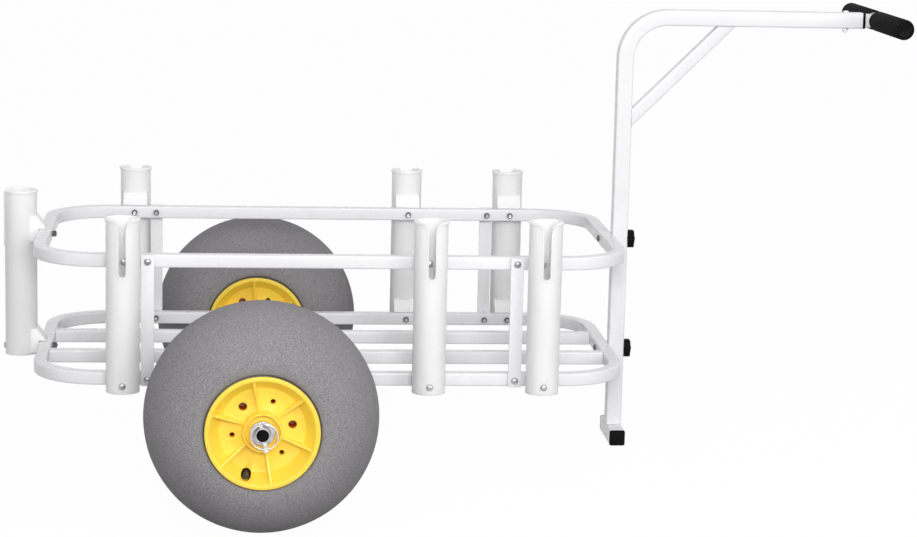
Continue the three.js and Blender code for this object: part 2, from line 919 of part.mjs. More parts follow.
function starKnob() {
  const outline = new THREE.Shape();
  const count = knobLobes * knobStepsPerLobe;
  const middle = (knobDiameter - knobLobeDepth) * half;
  for (let index = 0; index < count; index++) {
    const angle = (2 * Math.PI * index) / count;
    const radius = middle + knobLobeDepth * half * Math.cos(knobLobes * angle);
    outline.lineTo(radius * Math.cos(angle), radius * Math.sin(angle));
  }
  const body = new THREE.ExtrudeGeometry(outline, {
    depth: knobThickness - 2 * knobEdge,
    bevelEnabled: true,
    bevelThickness: knobEdge,
    bevelSize: knobEdge,
    bevelOffset: -knobEdge,
    bevelSegments: 1,
  });
  body.translate(0, 0, knobEdge + seatGap);
  const bossFoot = seatGap + knobBore;
  const bossBase = seatGap + knobThickness;
  const bossProfile = [
    [0, bossFoot],
    [knobBossDiameter * half, bossFoot],
    [knobBossDiameter * half, bossBase],
    [knobBossEndDiameter * half, bossBase + knobBossHeight],
    [0, bossBase + knobBossHeight],
  ];
  const boss = solid(turned(bossProfile, boltSides).rotateZ(-Math.PI * half));
  const bore = rod(boltHole, [-overrun, 0, 0], [seatGap + knobBore, 0, 0], boltSides);
  return cutBy(joined(solid(body.rotateY(Math.PI * half)), boss), bore);
}

// The bolt from inside the basket, through the rail and the post, into the knob.
function knobBolt() {
  const headEnd = -handleTube - seatGap - railTube - seatGap;
  const headRadius = boltHeadDiameter * half;
  const headRound = boltHeadHeight * half;
  const tip = knobBore - seatGap;
  const profile = [
    [0, headEnd - boltHeadHeight],
    [headRadius - headRound, headEnd - boltHeadHeight],
    [headRadius, headEnd - headRound],
    [headRadius, headEnd],
    [boltRadius, headEnd],
    [boltRadius, tip],
    [0, tip],
  ];
  return solid(turned(profile, boltSides).rotateZ(-Math.PI * half));
}

// Assembly

const trolley = new THREE.Group();

function place(name, made, look, parent = trolley) {
  const mesh = new THREE.Mesh(geometryOf(made), new THREE.MeshStandardMaterial(look));
  mesh.name = name;
  parent.add(mesh);
  return mesh;
}

// Rails, slats and uprights
place("lower_ring", railRing(lowerHeight), paint);
place("upper_ring", railRing(upperHeight), paint);
for (const [sideName, side] of [
  ["right", -1],
  ["left", 1],
]) {
  place(`floor_slat_${sideName}`, floorSlat(side), paint);
  for (const [station, x] of Object.entries(uprightStations)) {
    place(`upright_${station}_${sideName}`, uprightBar(x, side), paint);
  }
}

// Rod holders and their lower bolts
const holderSolid = holderBody();
const holderBoltSolid = holderBolt();
const holderPlaces = [["end", -basketRear - pipeOffset, 0, -90]];
for (const [station, x] of Object.entries(holderStations)) {
  holderPlaces.push([`${station}_right`, x, -railSide - pipeOffset, 0]);
  holderPlaces.push([`${station}_left`, x, railSide + pipeOffset, 180]);
}
for (const [name, x, y, turn] of holderPlaces) {
  const seat = new THREE.Group();
  seat.position.set(x, y, 0);
  seat.rotation.z = turn * degree;
  trolley.add(seat);
  place(`rod_holder_${name}`, holderSolid, whitePlastic, seat);
  place(`holder_bolt_${name}`, holderBoltSolid, steel, seat);
}

// Axle and wheels
place("axle_beam", axleBeam(), paint);
place("axle", axleTube(), steel);
const tyreSolid = tyreShell();
const outerHubSolid = hubHalf(true);
const innerHubSolid = hubHalf(false);
for (const [sideName, turn] of [
  ["right", 0],
  ["left", 180],
]) {
  const end = new THREE.Group();
  end.rotation.z = turn * degree;
  trolley.add(end);
  const wheel = new THREE.Group();
  wheel.position.y = -wheelSide;
  end.add(wheel);
  place(`tyre_${sideName}`, tyreSolid, tyreRubber, wheel);
  place(`hub_outer_${sideName}`, outerHubSolid, yellowPlastic, wheel);
  place(`hub_inner_${sideName}`, innerHubSolid, yellowPlastic, wheel).rotation.z = Math.PI;
  place(`valve_${sideName}`, valve(), blackPlastic, wheel);
  place(`bush_${sideName}`, bush(), bushPlastic, wheel);
  place(`washer_${sideName}`, washer(), steel, wheel);
  place(`axle_plug_${sideName}`, axlePlug(), blackPlastic, wheel);
  const linch = new THREE.Group();
  linch.rotation.y = -linchLean * degree;
  wheel.add(linch);
  place(`linch_pin_${sideName}`, linchPin(), steel, linch);
  place(`linch_ring_${sideName}`, wireRing(), steel, linch);
}

// Handle post, brace and foot
place("handle_post", handlePost(), paint);
place("handle_brace", handleBrace(), paint);
place("foot_bar", footBar(), paint);
for (const [sideName, turn] of [
  ["right", 0],
  ["left", 180],
]) {
  const cap = place(`foot_cap_${sideName}`, footCap(), blackPlastic);
  cap.position.set(postX, 0, footHeight);
  cap.rotation.z = turn * degree;
}

// T-handle
place("arm_collar", armCollar(), blackPlastic);
place("handle_bolt", handleBolt(), steel);
const tee = new THREE.Group();
tee.position.set(barX, 0, armHeight);
trolley.add(tee);
place("handle_bar", handleBar(), paint, tee);
for (const [sideName, turn] of [
  ["right", 0],
  ["left", 180],
]) {
  place(`grip_${sideName}`, grip(), foam, tee).rotation.z = turn * degree;
  place(`grip_plug_${sideName}`, barPlug(), blackPlastic, tee).rotation.z = turn * degree;
}

// Knobs
for (const [level, height] of [
  ["lower", lowerHeight],
  ["upper", upperHeight],
]) {
  const front = postX + handleTube * half;
  place(`knob_${level}`, starKnob(), blackPlastic).position.set(front, 0, height);
  place(`knob_bolt_${level}`, knobBolt(), steel).position.set(front, 0, height);
}

// The lean: the foot's lower front edge comes down to the level of the tyres' lowest point.
const footEdgeX = postX + handleTube * half - railEdge;
const footEdgeDrop = handleTube * half - footHeight;
const lean =
  Math.asin(wheelRadius / Math.hypot(footEdgeX, footEdgeDrop)) - Math.atan2(footEdgeDrop, footEdgeX);
trolley.rotation.y = lean;
for (const sideName of ["right", "left"]) {
  trolley.getObjectByName(`tyre_${sideName}`).rotation.y = sideName === "right" ? -lean : lean;
}

// The origin: the ground under the middle of the box.
const gripReach = gripDiameter * half;
const boltHeadX = basketRear + pipeOffset + pipeRadius + seatGap + boltHeadHeight;
const front = barX * Math.cos(lean) + armHeight * Math.sin(lean) + gripReach;
const rear = (lowerHeight - boltHeadDiameter * half) * Math.sin(lean) - boltHeadX * Math.cos(lean);
trolley.position.set(-(front + rear) * half, 0, wheelRadius);

export default trolley;
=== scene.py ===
import json
import math

import bpy
from mathutils import Matrix, Vector


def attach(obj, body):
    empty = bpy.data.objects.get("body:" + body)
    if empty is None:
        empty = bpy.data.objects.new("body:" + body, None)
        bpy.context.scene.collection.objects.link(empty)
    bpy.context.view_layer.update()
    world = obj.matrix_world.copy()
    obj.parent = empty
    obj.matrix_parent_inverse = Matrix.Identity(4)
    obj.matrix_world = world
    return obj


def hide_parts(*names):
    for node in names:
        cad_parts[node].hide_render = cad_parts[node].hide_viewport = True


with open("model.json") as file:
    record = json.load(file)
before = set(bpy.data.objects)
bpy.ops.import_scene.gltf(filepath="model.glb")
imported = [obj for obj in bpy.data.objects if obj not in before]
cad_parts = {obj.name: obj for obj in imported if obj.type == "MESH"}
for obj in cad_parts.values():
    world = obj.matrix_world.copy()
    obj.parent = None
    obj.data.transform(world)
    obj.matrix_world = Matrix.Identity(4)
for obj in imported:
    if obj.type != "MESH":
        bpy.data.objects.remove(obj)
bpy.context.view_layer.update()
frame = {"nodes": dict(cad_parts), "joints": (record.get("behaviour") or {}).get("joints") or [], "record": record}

nodes = frame["nodes"]

# The view: the photograph's camera, fitted to the frame.
camera_data = bpy.data.cameras.new("photo_camera")
camera_data.lens = 100.899
camera_data.sensor_width = 36
camera = bpy.data.objects.new("photo_camera", camera_data)
bpy.context.scene.collection.objects.link(camera)
camera.location = (-0.292247, -3.888034, 1.007735)
camera.rotation_euler = [math.radians(a) for a in (79.51394, 3.10311, -5.03032)]
camera_data.clip_start = 0.1
camera_data.clip_end = 100
bpy.context.scene.camera = camera


# Materials

# In metres: where a wheel's middle plane lies, and between which depths a hub's hole is painted dark red-brown as
# painted shade.
wheel_middle = 0.3725
hole_mouth, hole_painted_shade = 0.0735, 0.066


class Finish:
    """A material whose nodes are added one after the other."""

    def __init__(self, name, colour, roughness, metallic=0.0, coat=0.0):
        self.material = bpy.data.materials.new(name)
        self.material.use_nodes = True
        self.nodes = self.material.node_tree.nodes
        self.links = self.material.node_tree.links
        self.shader = self.nodes["Principled BSDF"]
        self.shader.inputs["Base Color"].default_value = (*colour, 1)
        self.shader.inputs["Roughness"].default_value = roughness
        self.shader.inputs["Metallic"].default_value = metallic
        self.shader.inputs["Coat Weight"].default_value = coat
        self.place = self.nodes.new("ShaderNodeTexCoord").outputs["Object"]
        self.height = None

    def noise(self, scale, detail=3, roughness=0.55, stretch=None):
        texture = self.nodes.new("ShaderNodeTexNoise")
        texture.inputs["Scale"].default_value = scale
        texture.inputs["Detail"].default_value = detail
        texture.inputs["Roughness"].default_value = roughness
        place = self.place
        if stretch:
            mapping = self.nodes.new("ShaderNodeMapping")
            mapping.inputs["Scale"].default_value = stretch
            self.links.new(place, mapping.inputs["Vector"])
            place = mapping.outputs["Vector"]
        self.links.new(place, texture.inputs["Vector"])
        return texture.outputs["Fac"]

    def cells(self, scale):
        texture = self.nodes.new("ShaderNodeTexVoronoi")
        texture.inputs["Scale"].default_value = scale
        self.links.new(self.place, texture.inputs["Vector"])
        return texture.outputs["Distance"]

    def depth_in_wheel(self):
        """How far a point lies from the middle plane of its wheel, in metres."""
        across = self.nodes.new("ShaderNodeSeparateXYZ")
        self.links.new(self.place, across.inputs["Vector"])
        value = across.outputs["Y"]
        for operation, amount in (("ABSOLUTE", 0), ("SUBTRACT", wheel_middle), ("ABSOLUTE", 0)):
            step = self.nodes.new("ShaderNodeMath")
            step.operation = operation
            self.links.new(value, step.inputs[0])
            step.inputs[1].default_value = amount
            value = step.outputs["Value"]
        return value

    def ramp(self, value, low, high, first, second):
        """first where value is low, second where it is high, smooth between them."""
        span = self.nodes.new("ShaderNodeMapRange")
        span.interpolation_type = "SMOOTHSTEP"
        span.inputs["From Min"].default_value = low
        span.inputs["From Max"].default_value = high
        span.inputs["To Min"].default_value = first
        span.inputs["To Max"].default_value = second
        self.links.new(value, span.inputs["Value"])
        return span.outputs["Result"]

    def blend(self, value, low, high, colour):
        """A new colour takes over where the value is high. Returns the node that mixes it in."""
        mix = self.nodes.new("ShaderNodeMix")
        mix.data_type = "RGBA"
        mix.inputs["B"].default_value = (*colour, 1)
        self.links.new(self.ramp(value, low, high, 0, 1), mix.inputs["Factor"])
        self.links.new(mix.outputs["Result"], self.shader.inputs["Base Color"])
        return mix

    def mottle(self, value, low, high, first, second):
        """The colour moves between two tints with the value."""
        mix = self.blend(value, low, high, second)
        mix.inputs["A"].default_value = (*first, 1)

    def flecks_and_shade(self, value, low, high, colour):
        """Flecks of another tint on the colour so far; in the hubs the same mix paints shade into the holes."""
        so_far = self.shader.inputs["Base Color"].links[0].from_socket
        mix = self.blend(value, low, high, colour)
        self.links.new(so_far, mix.inputs["A"])

    def polish(self, value, low, high, first, second):
        """The roughness moves between two levels with the value."""
        self.links.new(self.ramp(value, low, high, first, second), self.shader.inputs["Roughness"])

    def relief(self, value, distance, strength=1.0):
        """A fine relief on top of the one so far."""
        bump = self.nodes.new("ShaderNodeBump")
        bump.inputs["Distance"].default_value = distance
        bump.inputs["Strength"].default_value = strength
        self.links.new(value, bump.inputs["Height"])
        if self.height:
            self.links.new(self.height, bump.inputs["Normal"])
        self.height = bump.outputs["Normal"]
        self.links.new(self.height, self.shader.inputs["Normal"])
        return self


def white_powder_coat():
    coat = Finish("white_powder_coat", (0.81, 0.808, 0.83), 0.3, coat=0.08)
    coat.shader.inputs["Coat Roughness"].default_value = 0.1
    coat.shader.inputs["Specular IOR Level"].default_value = 0.3
    coat.mottle(coat.noise(6), 0.3, 0.7, (0.815, 0.813, 0.835), (0.8, 0.798, 0.82))
    coat.flecks_and_shade(coat.noise(22, detail=1), 0.55, 0.85, (0.77, 0.768, 0.785))
    coat.flecks_and_shade(coat.noise(700, detail=2), 0.68, 0.74, (0.715, 0.713, 0.725))
    coat.polish(coat.noise(24), 0.3, 0.7, 0.25, 0.32)
    return coat.relief(coat.noise(650, detail=1), 0.00003, 0.2).material


def moulded_white():
    plastic = Finish("moulded_white_plastic", (0.965, 0.963, 0.97), 0.33)
    plastic.shader.inputs["Subsurface Weight"].default_value = 0.7
    plastic.shader.inputs["Subsurface Radius"].default_value = (1, 1, 1)
    plastic.shader.inputs["Subsurface Scale"].default_value = 0.01
    plastic.mottle(plastic.noise(9), 0.3, 0.7, (0.97, 0.968, 0.975), (0.955, 0.953, 0.96))
    plastic.flecks_and_shade(plastic.noise(20, detail=1), 0.55, 0.85, (0.94, 0.938, 0.945))
    plastic.flecks_and_shade(plastic.noise(600, detail=2), 0.68, 0.74, (0.82, 0.818, 0.83))
    plastic.polish(plastic.noise(40, stretch=(1, 1, 0.12)), 0.3, 0.7, 0.32, 0.42)
    plastic.relief(plastic.noise(160, detail=2, stretch=(1, 1, 0.1)), 0.00005, 0.12)
    return plastic.relief(plastic.noise(1400, detail=1), 0.00002, 0.15).material


def hub_yellow():
    plastic = Finish("hub_yellow_plastic", (1, 0.7, 0.074), 0.32, coat=0.12)
    plastic.shader.inputs["Coat Roughness"].default_value = 0.15
    plastic.shader.inputs["Subsurface Weight"].default_value = 0.6
    plastic.shader.inputs["Subsurface Radius"].default_value = (1, 0.35, 0.05)
    plastic.shader.inputs["Subsurface Scale"].default_value = 0.004
    plastic.mottle(plastic.noise(16), 0.3, 0.7, (1, 0.71, 0.079), (0.99, 0.67, 0.067))
    plastic.flecks_and_shade(plastic.noise(600, detail=2), 0.68, 0.74, (0.9, 0.57, 0.04))
    # Painted shade: whatever lies deeper in the hub than the holes' mouths turns dark red-brown.
    plastic.flecks_and_shade(plastic.depth_in_wheel(), hole_mouth, hole_painted_shade, (0.5, 0.085, 0.006))
    plastic.polish(plastic.noise(60), 0.3, 0.7, 0.32, 0.42)
    return plastic.relief(plastic.noise(900, detail=2), 0.00003, 0.2).material


def tyre_grey():
    rubber = Finish("balloon_tyre_grey", (0.24, 0.231, 0.24), 0.8)
    rubber.shader.inputs["Specular IOR Level"].default_value = 0.3
    rubber.mottle(rubber.noise(6), 0.3, 0.7, (0.25, 0.241, 0.25), (0.22, 0.212, 0.221))
    rubber.flecks_and_shade(rubber.noise(620, detail=2, roughness=0.8), 0.46, 0.66, (0.35, 0.34, 0.35))
    rubber.flecks_and_shade(rubber.noise(700, detail=2, roughness=0.8), 0.48, 0.68, (0.125, 0.12, 0.125))
    rubber.polish(rubber.noise(60), 0.3, 0.7, 0.74, 0.86)
    rubber.relief(rubber.noise(480, detail=3, roughness=0.7), 0.0003, 0.5)
    return rubber.relief(rubber.noise(40), 0.0004, 0.2).material


def foam_black():
    foam = Finish("grip_foam_black", (0.007, 0.007, 0.008), 0.95)
    foam.shader.inputs["Specular IOR Level"].default_value = 0.1
    foam.mottle(foam.noise(160), 0.4, 0.7, (0.006, 0.006, 0.007), (0.011, 0.011, 0.012))
    foam.flecks_and_shade(foam.noise(1300, detail=1), 0.6, 0.75, (0.024, 0.024, 0.026))
    foam.relief(foam.cells(900), 0.0003, 0.4)
    return foam.relief(foam.noise(180), 0.0003, 0.25).material


def black_plastic():
    plastic = Finish("moulded_black_plastic", (0.003, 0.003, 0.003), 0.5)
    plastic.shader.inputs["Specular IOR Level"].default_value = 0.06
    plastic.mottle(plastic.noise(90), 0.4, 0.7, (0.0025, 0.0025, 0.0025), (0.006, 0.006, 0.006))
    plastic.polish(plastic.noise(140), 0.3, 0.7, 0.45, 0.6)
    return plastic.relief(plastic.noise(1100, detail=2), 0.00006, 0.3).material


def zinc_steel():
    steel = Finish("zinc_plated_steel", (0.8, 0.8, 0.81), 0.28, metallic=1.0)
    steel.mottle(steel.noise(70), 0.35, 0.7, (0.84, 0.84, 0.85), (0.7, 0.7, 0.72))
    steel.polish(steel.noise(160), 0.3, 0.7, 0.2, 0.36)
    return steel.relief(steel.noise(1200, detail=1), 0.00002, 0.2).material


def screw_steel():
    steel = Finish("screw_plating", (0.46, 0.46, 0.48), 0.33, metallic=1.0)
    steel.mottle(steel.noise(120), 0.35, 0.7, (0.52, 0.52, 0.54), (0.38, 0.38, 0.4))
    steel.polish(steel.noise(200), 0.3, 0.7, 0.34, 0.5)
    return steel.relief(steel.noise(1200, detail=1), 0.00002, 0.2).material


def dull_steel():
    steel = Finish("dull_nut_steel", (0.12, 0.12, 0.125), 0.38, metallic=1.0)
    steel.mottle(steel.noise(150), 0.35, 0.7, (0.15, 0.15, 0.155), (0.08, 0.08, 0.085))
    steel.polish(steel.noise(260), 0.3, 0.7, 0.3, 0.48)
    return steel.relief(steel.noise(1200, detail=1), 0.00003, 0.3).material


def valve_rubber():
    rubber = Finish("valve_rubber", (0.02, 0.014, 0.01), 0.45)
    rubber.mottle(rubber.noise(200), 0.4, 0.7, (0.016, 0.011, 0.008), (0.035, 0.024, 0.016))
    rubber.polish(rubber.noise(300), 0.3, 0.7, 0.38, 0.55)
    return rubber.relief(rubber.noise(1500, detail=2), 0.00005, 0.3).material


def bush_nylon():
    nylon = Finish("bush_nylon", (0.68, 0.68, 0.62), 0.5)
    nylon.mottle(nylon.noise(60), 0.4, 0.7, (0.7, 0.7, 0.64), (0.6, 0.6, 0.55))
    return nylon.relief(nylon.noise(700), 0.00005, 0.4).material


finishes = {
    "white_paint": white_powder_coat(),
    "white_plastic": moulded_white(),
    "yellow_plastic": hub_yellow(),
    "black_plastic": black_plastic(),
    "tyre_rubber": tyre_grey(),
    "foam": foam_black(),
    "zinc_steel": zinc_steel(),
    "bush_plastic": bush_nylon(),
}
screw_finish, nut_finish, valve_finish = screw_steel(), dull_steel(), valve_rubber()
for part in frame["record"]["subparts"]:
    mesh = nodes[part["node"]].data
    mesh.materials.clear()
    mesh.materials.append(finishes[part["material_slot"]])


# Shape tools. A piece is modelled in millimetres in the level drawing of the trolley: the axle's
# centre is the origin, +X points to the handle and -Y to the right side. settle() puts it in the frame.

joints = {joint["name"]: joint for joint in frame["joints"]}
axle_place = joints["wheel_right_spin"]["pos_m"]
lean = math.asin(-joints["knob_upper_turn"]["axis"][2])
to_frame = (
    Matrix.Translation((axle_place[0], 0, axle_place[2]))
    @ Matrix.Rotation(lean, 4, "Y")
    @ Matrix.Scale(0.001, 4)
)
weld = 0.002


def only(piece):
    bpy.ops.object.select_all(action="DESELECT")
    piece.select_set(True)
    bpy.context.view_layer.objects.active = piece


def edit(piece, mode="VERT"):
    only(piece)
    bpy.ops.object.mode_set(mode="EDIT")
    bpy.ops.mesh.select_mode(type=mode)


def close_edit():
    bpy.ops.object.mode_set(mode="OBJECT")


def clean_skin():
    bpy.ops.mesh.select_all(action="SELECT")
    bpy.ops.mesh.remove_doubles(threshold=weld)
    bpy.ops.mesh.normals_make_consistent(inside=False)


def drawn(name, points, closed=True, rounding=0):
    """A line drawn point by point, closed into a face; its corners can be rounded. Stays in edit mode."""
    bpy.ops.object.select_all(action="DESELECT")
    bpy.ops.mesh.primitive_plane_add(size=1, location=(0, 0, 0))
    piece = bpy.context.object
    piece.name = name
    edit(piece)
    bpy.ops.mesh.select_all(action="SELECT")
    bpy.ops.mesh.merge(type="CENTER")
    bpy.ops.transform.translate(value=points[0])
    for start, end in zip(points, points[1:]):
        step = Vector(end) - Vector(start)
        bpy.ops.mesh.extrude_vertices_move(TRANSFORM_OT_translate={"value": step})
    bpy.ops.mesh.select_all(action="SELECT")
    if closed:
        bpy.ops.mesh.edge_face_add()
    if rounding:
        bpy.ops.mesh.bevel(offset=rounding, segments=3, affect="VERTICES", clamp_overlap=True)
        bpy.ops.mesh.select_all(action="SELECT")
    return piece


def turned(name, profile, steps=48, hollow=False, rounding=0):
    """A profile of (radius, along) points turned about Y; a hollow one is a closed ring section."""
    points = [(radius, along, 0) for radius, along in profile]
    piece = drawn(name, points, closed=hollow, rounding=rounding if hollow else 0)
    if hollow:
        bpy.ops.mesh.select_all(action="SELECT")
        bpy.ops.mesh.delete(type="ONLY_FACE")
    elif rounding:
        close_edit()
        for vertex in piece.data.vertices:
            vertex.select = abs(vertex.co.x) > weld
        bpy.ops.object.mode_set(mode="EDIT")
        bpy.ops.mesh.bevel(offset=rounding, segments=3, affect="VERTICES", clamp_overlap=True)
    bpy.ops.mesh.select_all(action="SELECT")
    bpy.ops.mesh.spin(steps=steps, angle=2 * math.pi, center=(0, 0, 0), axis=(0, 1, 0))
    clean_skin()
    close_edit()
    return piece


def plate(name, points, thickness):
    """A flat outline of (x, z) points made into a plate centred across Y."""
    piece = drawn(name, [(x, -thickness / 2, z) for x, z in points])
    bpy.ops.mesh.extrude_region_move(TRANSFORM_OT_translate={"value": (0, thickness, 0)})
    clean_skin()
    close_edit()
    return piece


def soften(piece, width, segments=2, sharper=35):
    """Rounds every edge whose faces meet at more than the angle."""
    edit(piece, "EDGE")
    bpy.ops.mesh.select_all(action="DESELECT")
    bpy.ops.mesh.edges_select_sharp(sharpness=math.radians(sharper))
    bpy.ops.mesh.bevel(offset=width, segments=segments, affect="EDGES", clamp_overlap=True)
    close_edit()
    return piece


def moved(piece, x=0, y=0, z=0):
    only(piece)
    piece.location = Vector(piece.location) + Vector((x, y, z))
    bpy.ops.object.transform_apply(location=True, rotation=True, scale=True)
    return piece


def turned_by(piece, degrees, axis):
    only(piece)
    piece.matrix_world = Matrix.Rotation(math.radians(degrees), 4, axis)
    bpy.ops.object.transform_apply(location=True, rotation=True, scale=True)
    return piece


def combine(piece, tool, operation):
    only(piece)
    bpy.ops.object.modifier_add(type="BOOLEAN")
    step = piece.modifiers[-1]
    step.operation = operation
    step.solver = "EXACT"
    step.object = tool
    bpy.ops.object.modifier_apply(modifier=step.name)
    only(tool)
    bpy.ops.object.delete()
    return piece


def joined(first, *others):
    only(first)
    for other in others:
        other.select_set(True)
    bpy.ops.object.join()
    return first


def twin(piece, name):
    copy = piece.copy()
    copy.data = piece.data.copy()
    copy.name = copy.data.name = name
    bpy.context.scene.collection.objects.link(copy)
    return copy


def settle(piece, name, slot, nodes=(), place=None, body="frame", smooth=32, finish=None):
    """Puts a finished piece in the frame, with its finish, its body and the solids it stands for."""
    piece.name = piece.data.name = name
    piece.matrix_world = to_frame @ (place or Matrix.Identity(4))
    only(piece)
    bpy.ops.object.transform_apply(location=True, rotation=True, scale=True)
    bpy.ops.object.shade_smooth_by_angle(angle=math.radians(smooth))
    piece.data.materials.clear()
    piece.data.materials.append(finish or finishes[slot])
    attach(piece, body)
    if nodes:
        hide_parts(*nodes)
    return piece


def at(x=0, y=0, z=0, turn=0, axis="Z"):
    return Matrix.Translation((x, y, z)) @ Matrix.Rotation(math.radians(turn), 4, axis)


def arc(x, z, radius, first, last, steps):
    """Points on a circle, angles in degrees from +X."""
    angles = [math.radians(first + (last - first) * step / steps) for step in range(steps + 1)]
    return [(x + radius * math.cos(a), z + radius * math.sin(a)) for a in angles]


def round_square(size, edge, steps=4):
    """The section of a square tube: a square with rounded corners."""
    reach = size / 2 - edge
    corners = [(reach, reach, 0), (-reach, reach, 90), (-reach, -reach, 180), (reach, -reach, 270)]
    return [point for x, z, first in corners for point in arc(x, z, edge, first, first + 90, steps)]


def start_tube(name, points):
    """A loop of edges to be led along a tube's path. Stays in edit mode."""
    piece = drawn(name, points)
    bpy.ops.mesh.delete(type="ONLY_FACE")
    bpy.ops.mesh.select_all(action="SELECT")
    return piece


def lead(x=0, y=0, z=0):
    bpy.ops.mesh.extrude_edges_move(TRANSFORM_OT_translate={"value": (x, y, z)})


def lead_round(degrees, center, axis, steps):
    bpy.ops.mesh.spin(steps=steps, angle=-math.radians(degrees), center=center, axis=axis)


def cap_end():
    bpy.ops.mesh.edge_face_add()


# Sizes, as in the solids

rail, rail_edge = 19, 2.4
rail_side = 225
basket_front, basket_rear, rail_bend = 532.5, -323.5, 91.5
lower, upper = 22.8, 195.5
rail_face = rail_side + rail / 2
gap = 0.3
upright_stations = {"rear": -163.2, "front": 370}
upright_thick = 6
holder_stations = {"rear": -197.5, "middle": 242, "front": 407.5}
pipe_radius, pipe_wall = 24.15, 3.6
pipe_bottom, pipe_top = 11, 263
pad_reach = 3.7
holder_offset = rail / 2 + gap + pad_reach + pipe_radius
bolt_hole = 3.3
wheel_side = 372.5
slat_side = 74.2
tube, tube_edge, tube_wall = 24, 2.8, 1.5
post_x = 554.3
arm_height, arm_end, post_bend = 538.2, 918.7, 64
foot_height, foot_width = -109.6, 105.2


# Rails, slats and uprights

def rail_ring(height):
    """A square tube led once round the basket, with four round corners."""
    front, rear = basket_front - rail_bend, basket_rear + rail_bend
    side = rail_side - rail_bend
    section = [(front, -rail_side + a, height + b) for a, b in round_square(rail, rail_edge)]
    ring = start_tube("rail_ring", section)
    for x, y, dx, dy in (
        (front, -side, 0, 2 * side),
        (front, side, rear - front, 0),
        (rear, side, 0, -2 * side),
        (rear, -side, front - rear, 0),
    ):
        lead_round(90, (x, y, height), (0, 0, 1), 18)
        lead(dx, dy)
    clean_skin()
    close_edit()
    return ring


def tube_bar(name, length, size, edge):
    """A square tube along X, centred on the origin."""
    bar = start_tube(name, [(-length / 2, a, b) for a, b in round_square(size, edge)])
    cap_end()
    bpy.ops.mesh.extrude_region_move(TRANSFORM_OT_translate={"value": (length, 0, 0)})
    clean_skin()
    close_edit()
    return bar


def upright_bar():
    half_width, half_height = rail / 2, (upper - lower + rail) / 2
    outline = [
        (-half_width, -half_height), (half_width, -half_height),
        (half_width, half_height), (-half_width, half_height),
    ]
    return soften(plate("upright", outline, upright_thick), 0.8, 3)


# Rod holders, drawn with the pipe on Z, the slot towards -Y and the rail towards +Y

rim_flare, rim_height = 1.7, 7
slot_width, slot_depth = 9.8, 82
mouth_width, mouth_depth = 31, 18
lip_margin, lip_stand, lip_rounding = 3, 1.5, 1.3
pad_width, pad_root, pad_step, pad_slope = 38, 2, 1.6, 19


def slot_outline(margin, top):
    """The slot and its funnel mouth seen from outside, widened all round by the margin."""
    slot, mouth = slot_width / 2 + margin, mouth_width / 2 + margin
    foot = pipe_top - slot_depth + slot_width / 2
    shoulder = pipe_top - mouth_depth - margin * 0.4
    bulge, rise = mouth - slot, mouth_depth + margin * 0.4
    right = []
    for step in range(10):
        angle = math.radians(10 * step)
        right.append((slot + bulge * (1 - math.cos(angle)), shoulder + rise * math.sin(angle)))
    left = [(-x, z) for x, z in reversed(right)]
    return right + [(mouth, top), (-mouth, top)] + left + arc(0, foot, slot, 180, 360, 12)


def slot_tool():
    return moved(plate("slot_tool", slot_outline(0, pipe_top + 8), 40), y=-20)


def slot_lips():
    """The rolled edge round the slot: a band that follows the pipe and stands a little proud."""
    lips = moved(plate("slot_lips", slot_outline(lip_margin, pipe_top + 2), 30), y=-20)
    height = slot_depth + 20
    around = cylinder("around", pipe_radius + lip_stand, height, 96)
    combine(lips, moved(around, z=pipe_top - 1.2 - height / 2), "INTERSECT")
    return soften(lips, lip_rounding, 4, sharper=40)


def mounting_pad(height):
    """The block between the pipe and a rail, with a step onto the rail and a sloping top."""
    face, middle = pipe_radius + pad_reach, holder_offset
    top = height + rail / 2
    outline = [
        (pad_root, height - rail / 2),
        (face, height - rail / 2),
        (face, top + gap),
        (middle, top + gap),
        (middle, top + gap + pad_step),
        (pipe_radius, top + pad_slope),
        (pad_root, top + pad_slope),
    ]
    pad = soften(plate("mounting_pad", outline, pad_width), 0.9, 3)
    return turned_by(pad, 90, "Z")


def cylinder(name, radius, length, vertices=32):
    bpy.ops.object.select_all(action="DESELECT")
    bpy.ops.mesh.primitive_cylinder_add(radius=radius, depth=length, vertices=vertices)
    piece = bpy.context.object
    piece.name = name
    return piece


def rod_holder():
    """A pipe with a flared rim, two pads, a slot with rolled lips, and its bolt holes."""
    bore = pipe_radius - pipe_wall
    rim = pipe_radius + rim_flare
    wall = [
        (bore, pipe_bottom),
        (pipe_radius, pipe_bottom),
        (pipe_radius, pipe_top - rim_height),
        (pipe_radius + 0.2, pipe_top - rim_height + 1.6),
        (rim - 0.8, pipe_top - 4),
        (rim - 0.2, pipe_top - 3.1),
        (rim, pipe_top - 2.2),
        (rim - 0.3, pipe_top - 0.9),
        (rim - 1.6, pipe_top),
        (bore + 1.2, pipe_top),
        (bore + 0.2, pipe_top - 0.8),
        (bore, pipe_top - 2.2),
    ]
    body = turned_by(turned("rod_holder", wall, steps=80, hollow=True), 90, "X")
    for height in (lower, upper):
        body = combine(body, mounting_pad(height), "UNION")
    body = combine(body, slot_lips(), "UNION")
    bore_tool = cylinder("bore_tool", bore, pipe_top - pipe_bottom + 20, 80)
    body = combine(body, moved(bore_tool, z=(pipe_top + pipe_bottom) / 2), "DIFFERENCE")
    body = combine(body, slot_tool(), "DIFFERENCE")
    through = turned_by(cylinder("bolt_tool", bolt_hole, 120, 24), 90, "X")
    body = combine(body, moved(through, z=lower), "DIFFERENCE")
    short = turned_by(cylinder("bolt_tool", bolt_hole, 60, 24), 90, "X")
    body = combine(body, moved(short, y=30, z=upper), "DIFFERENCE")
    return soften(body, 0.45, 2, sharper=40)


# Wheels, drawn about the Y axis with the mid-plane at zero and the outer side towards -Y

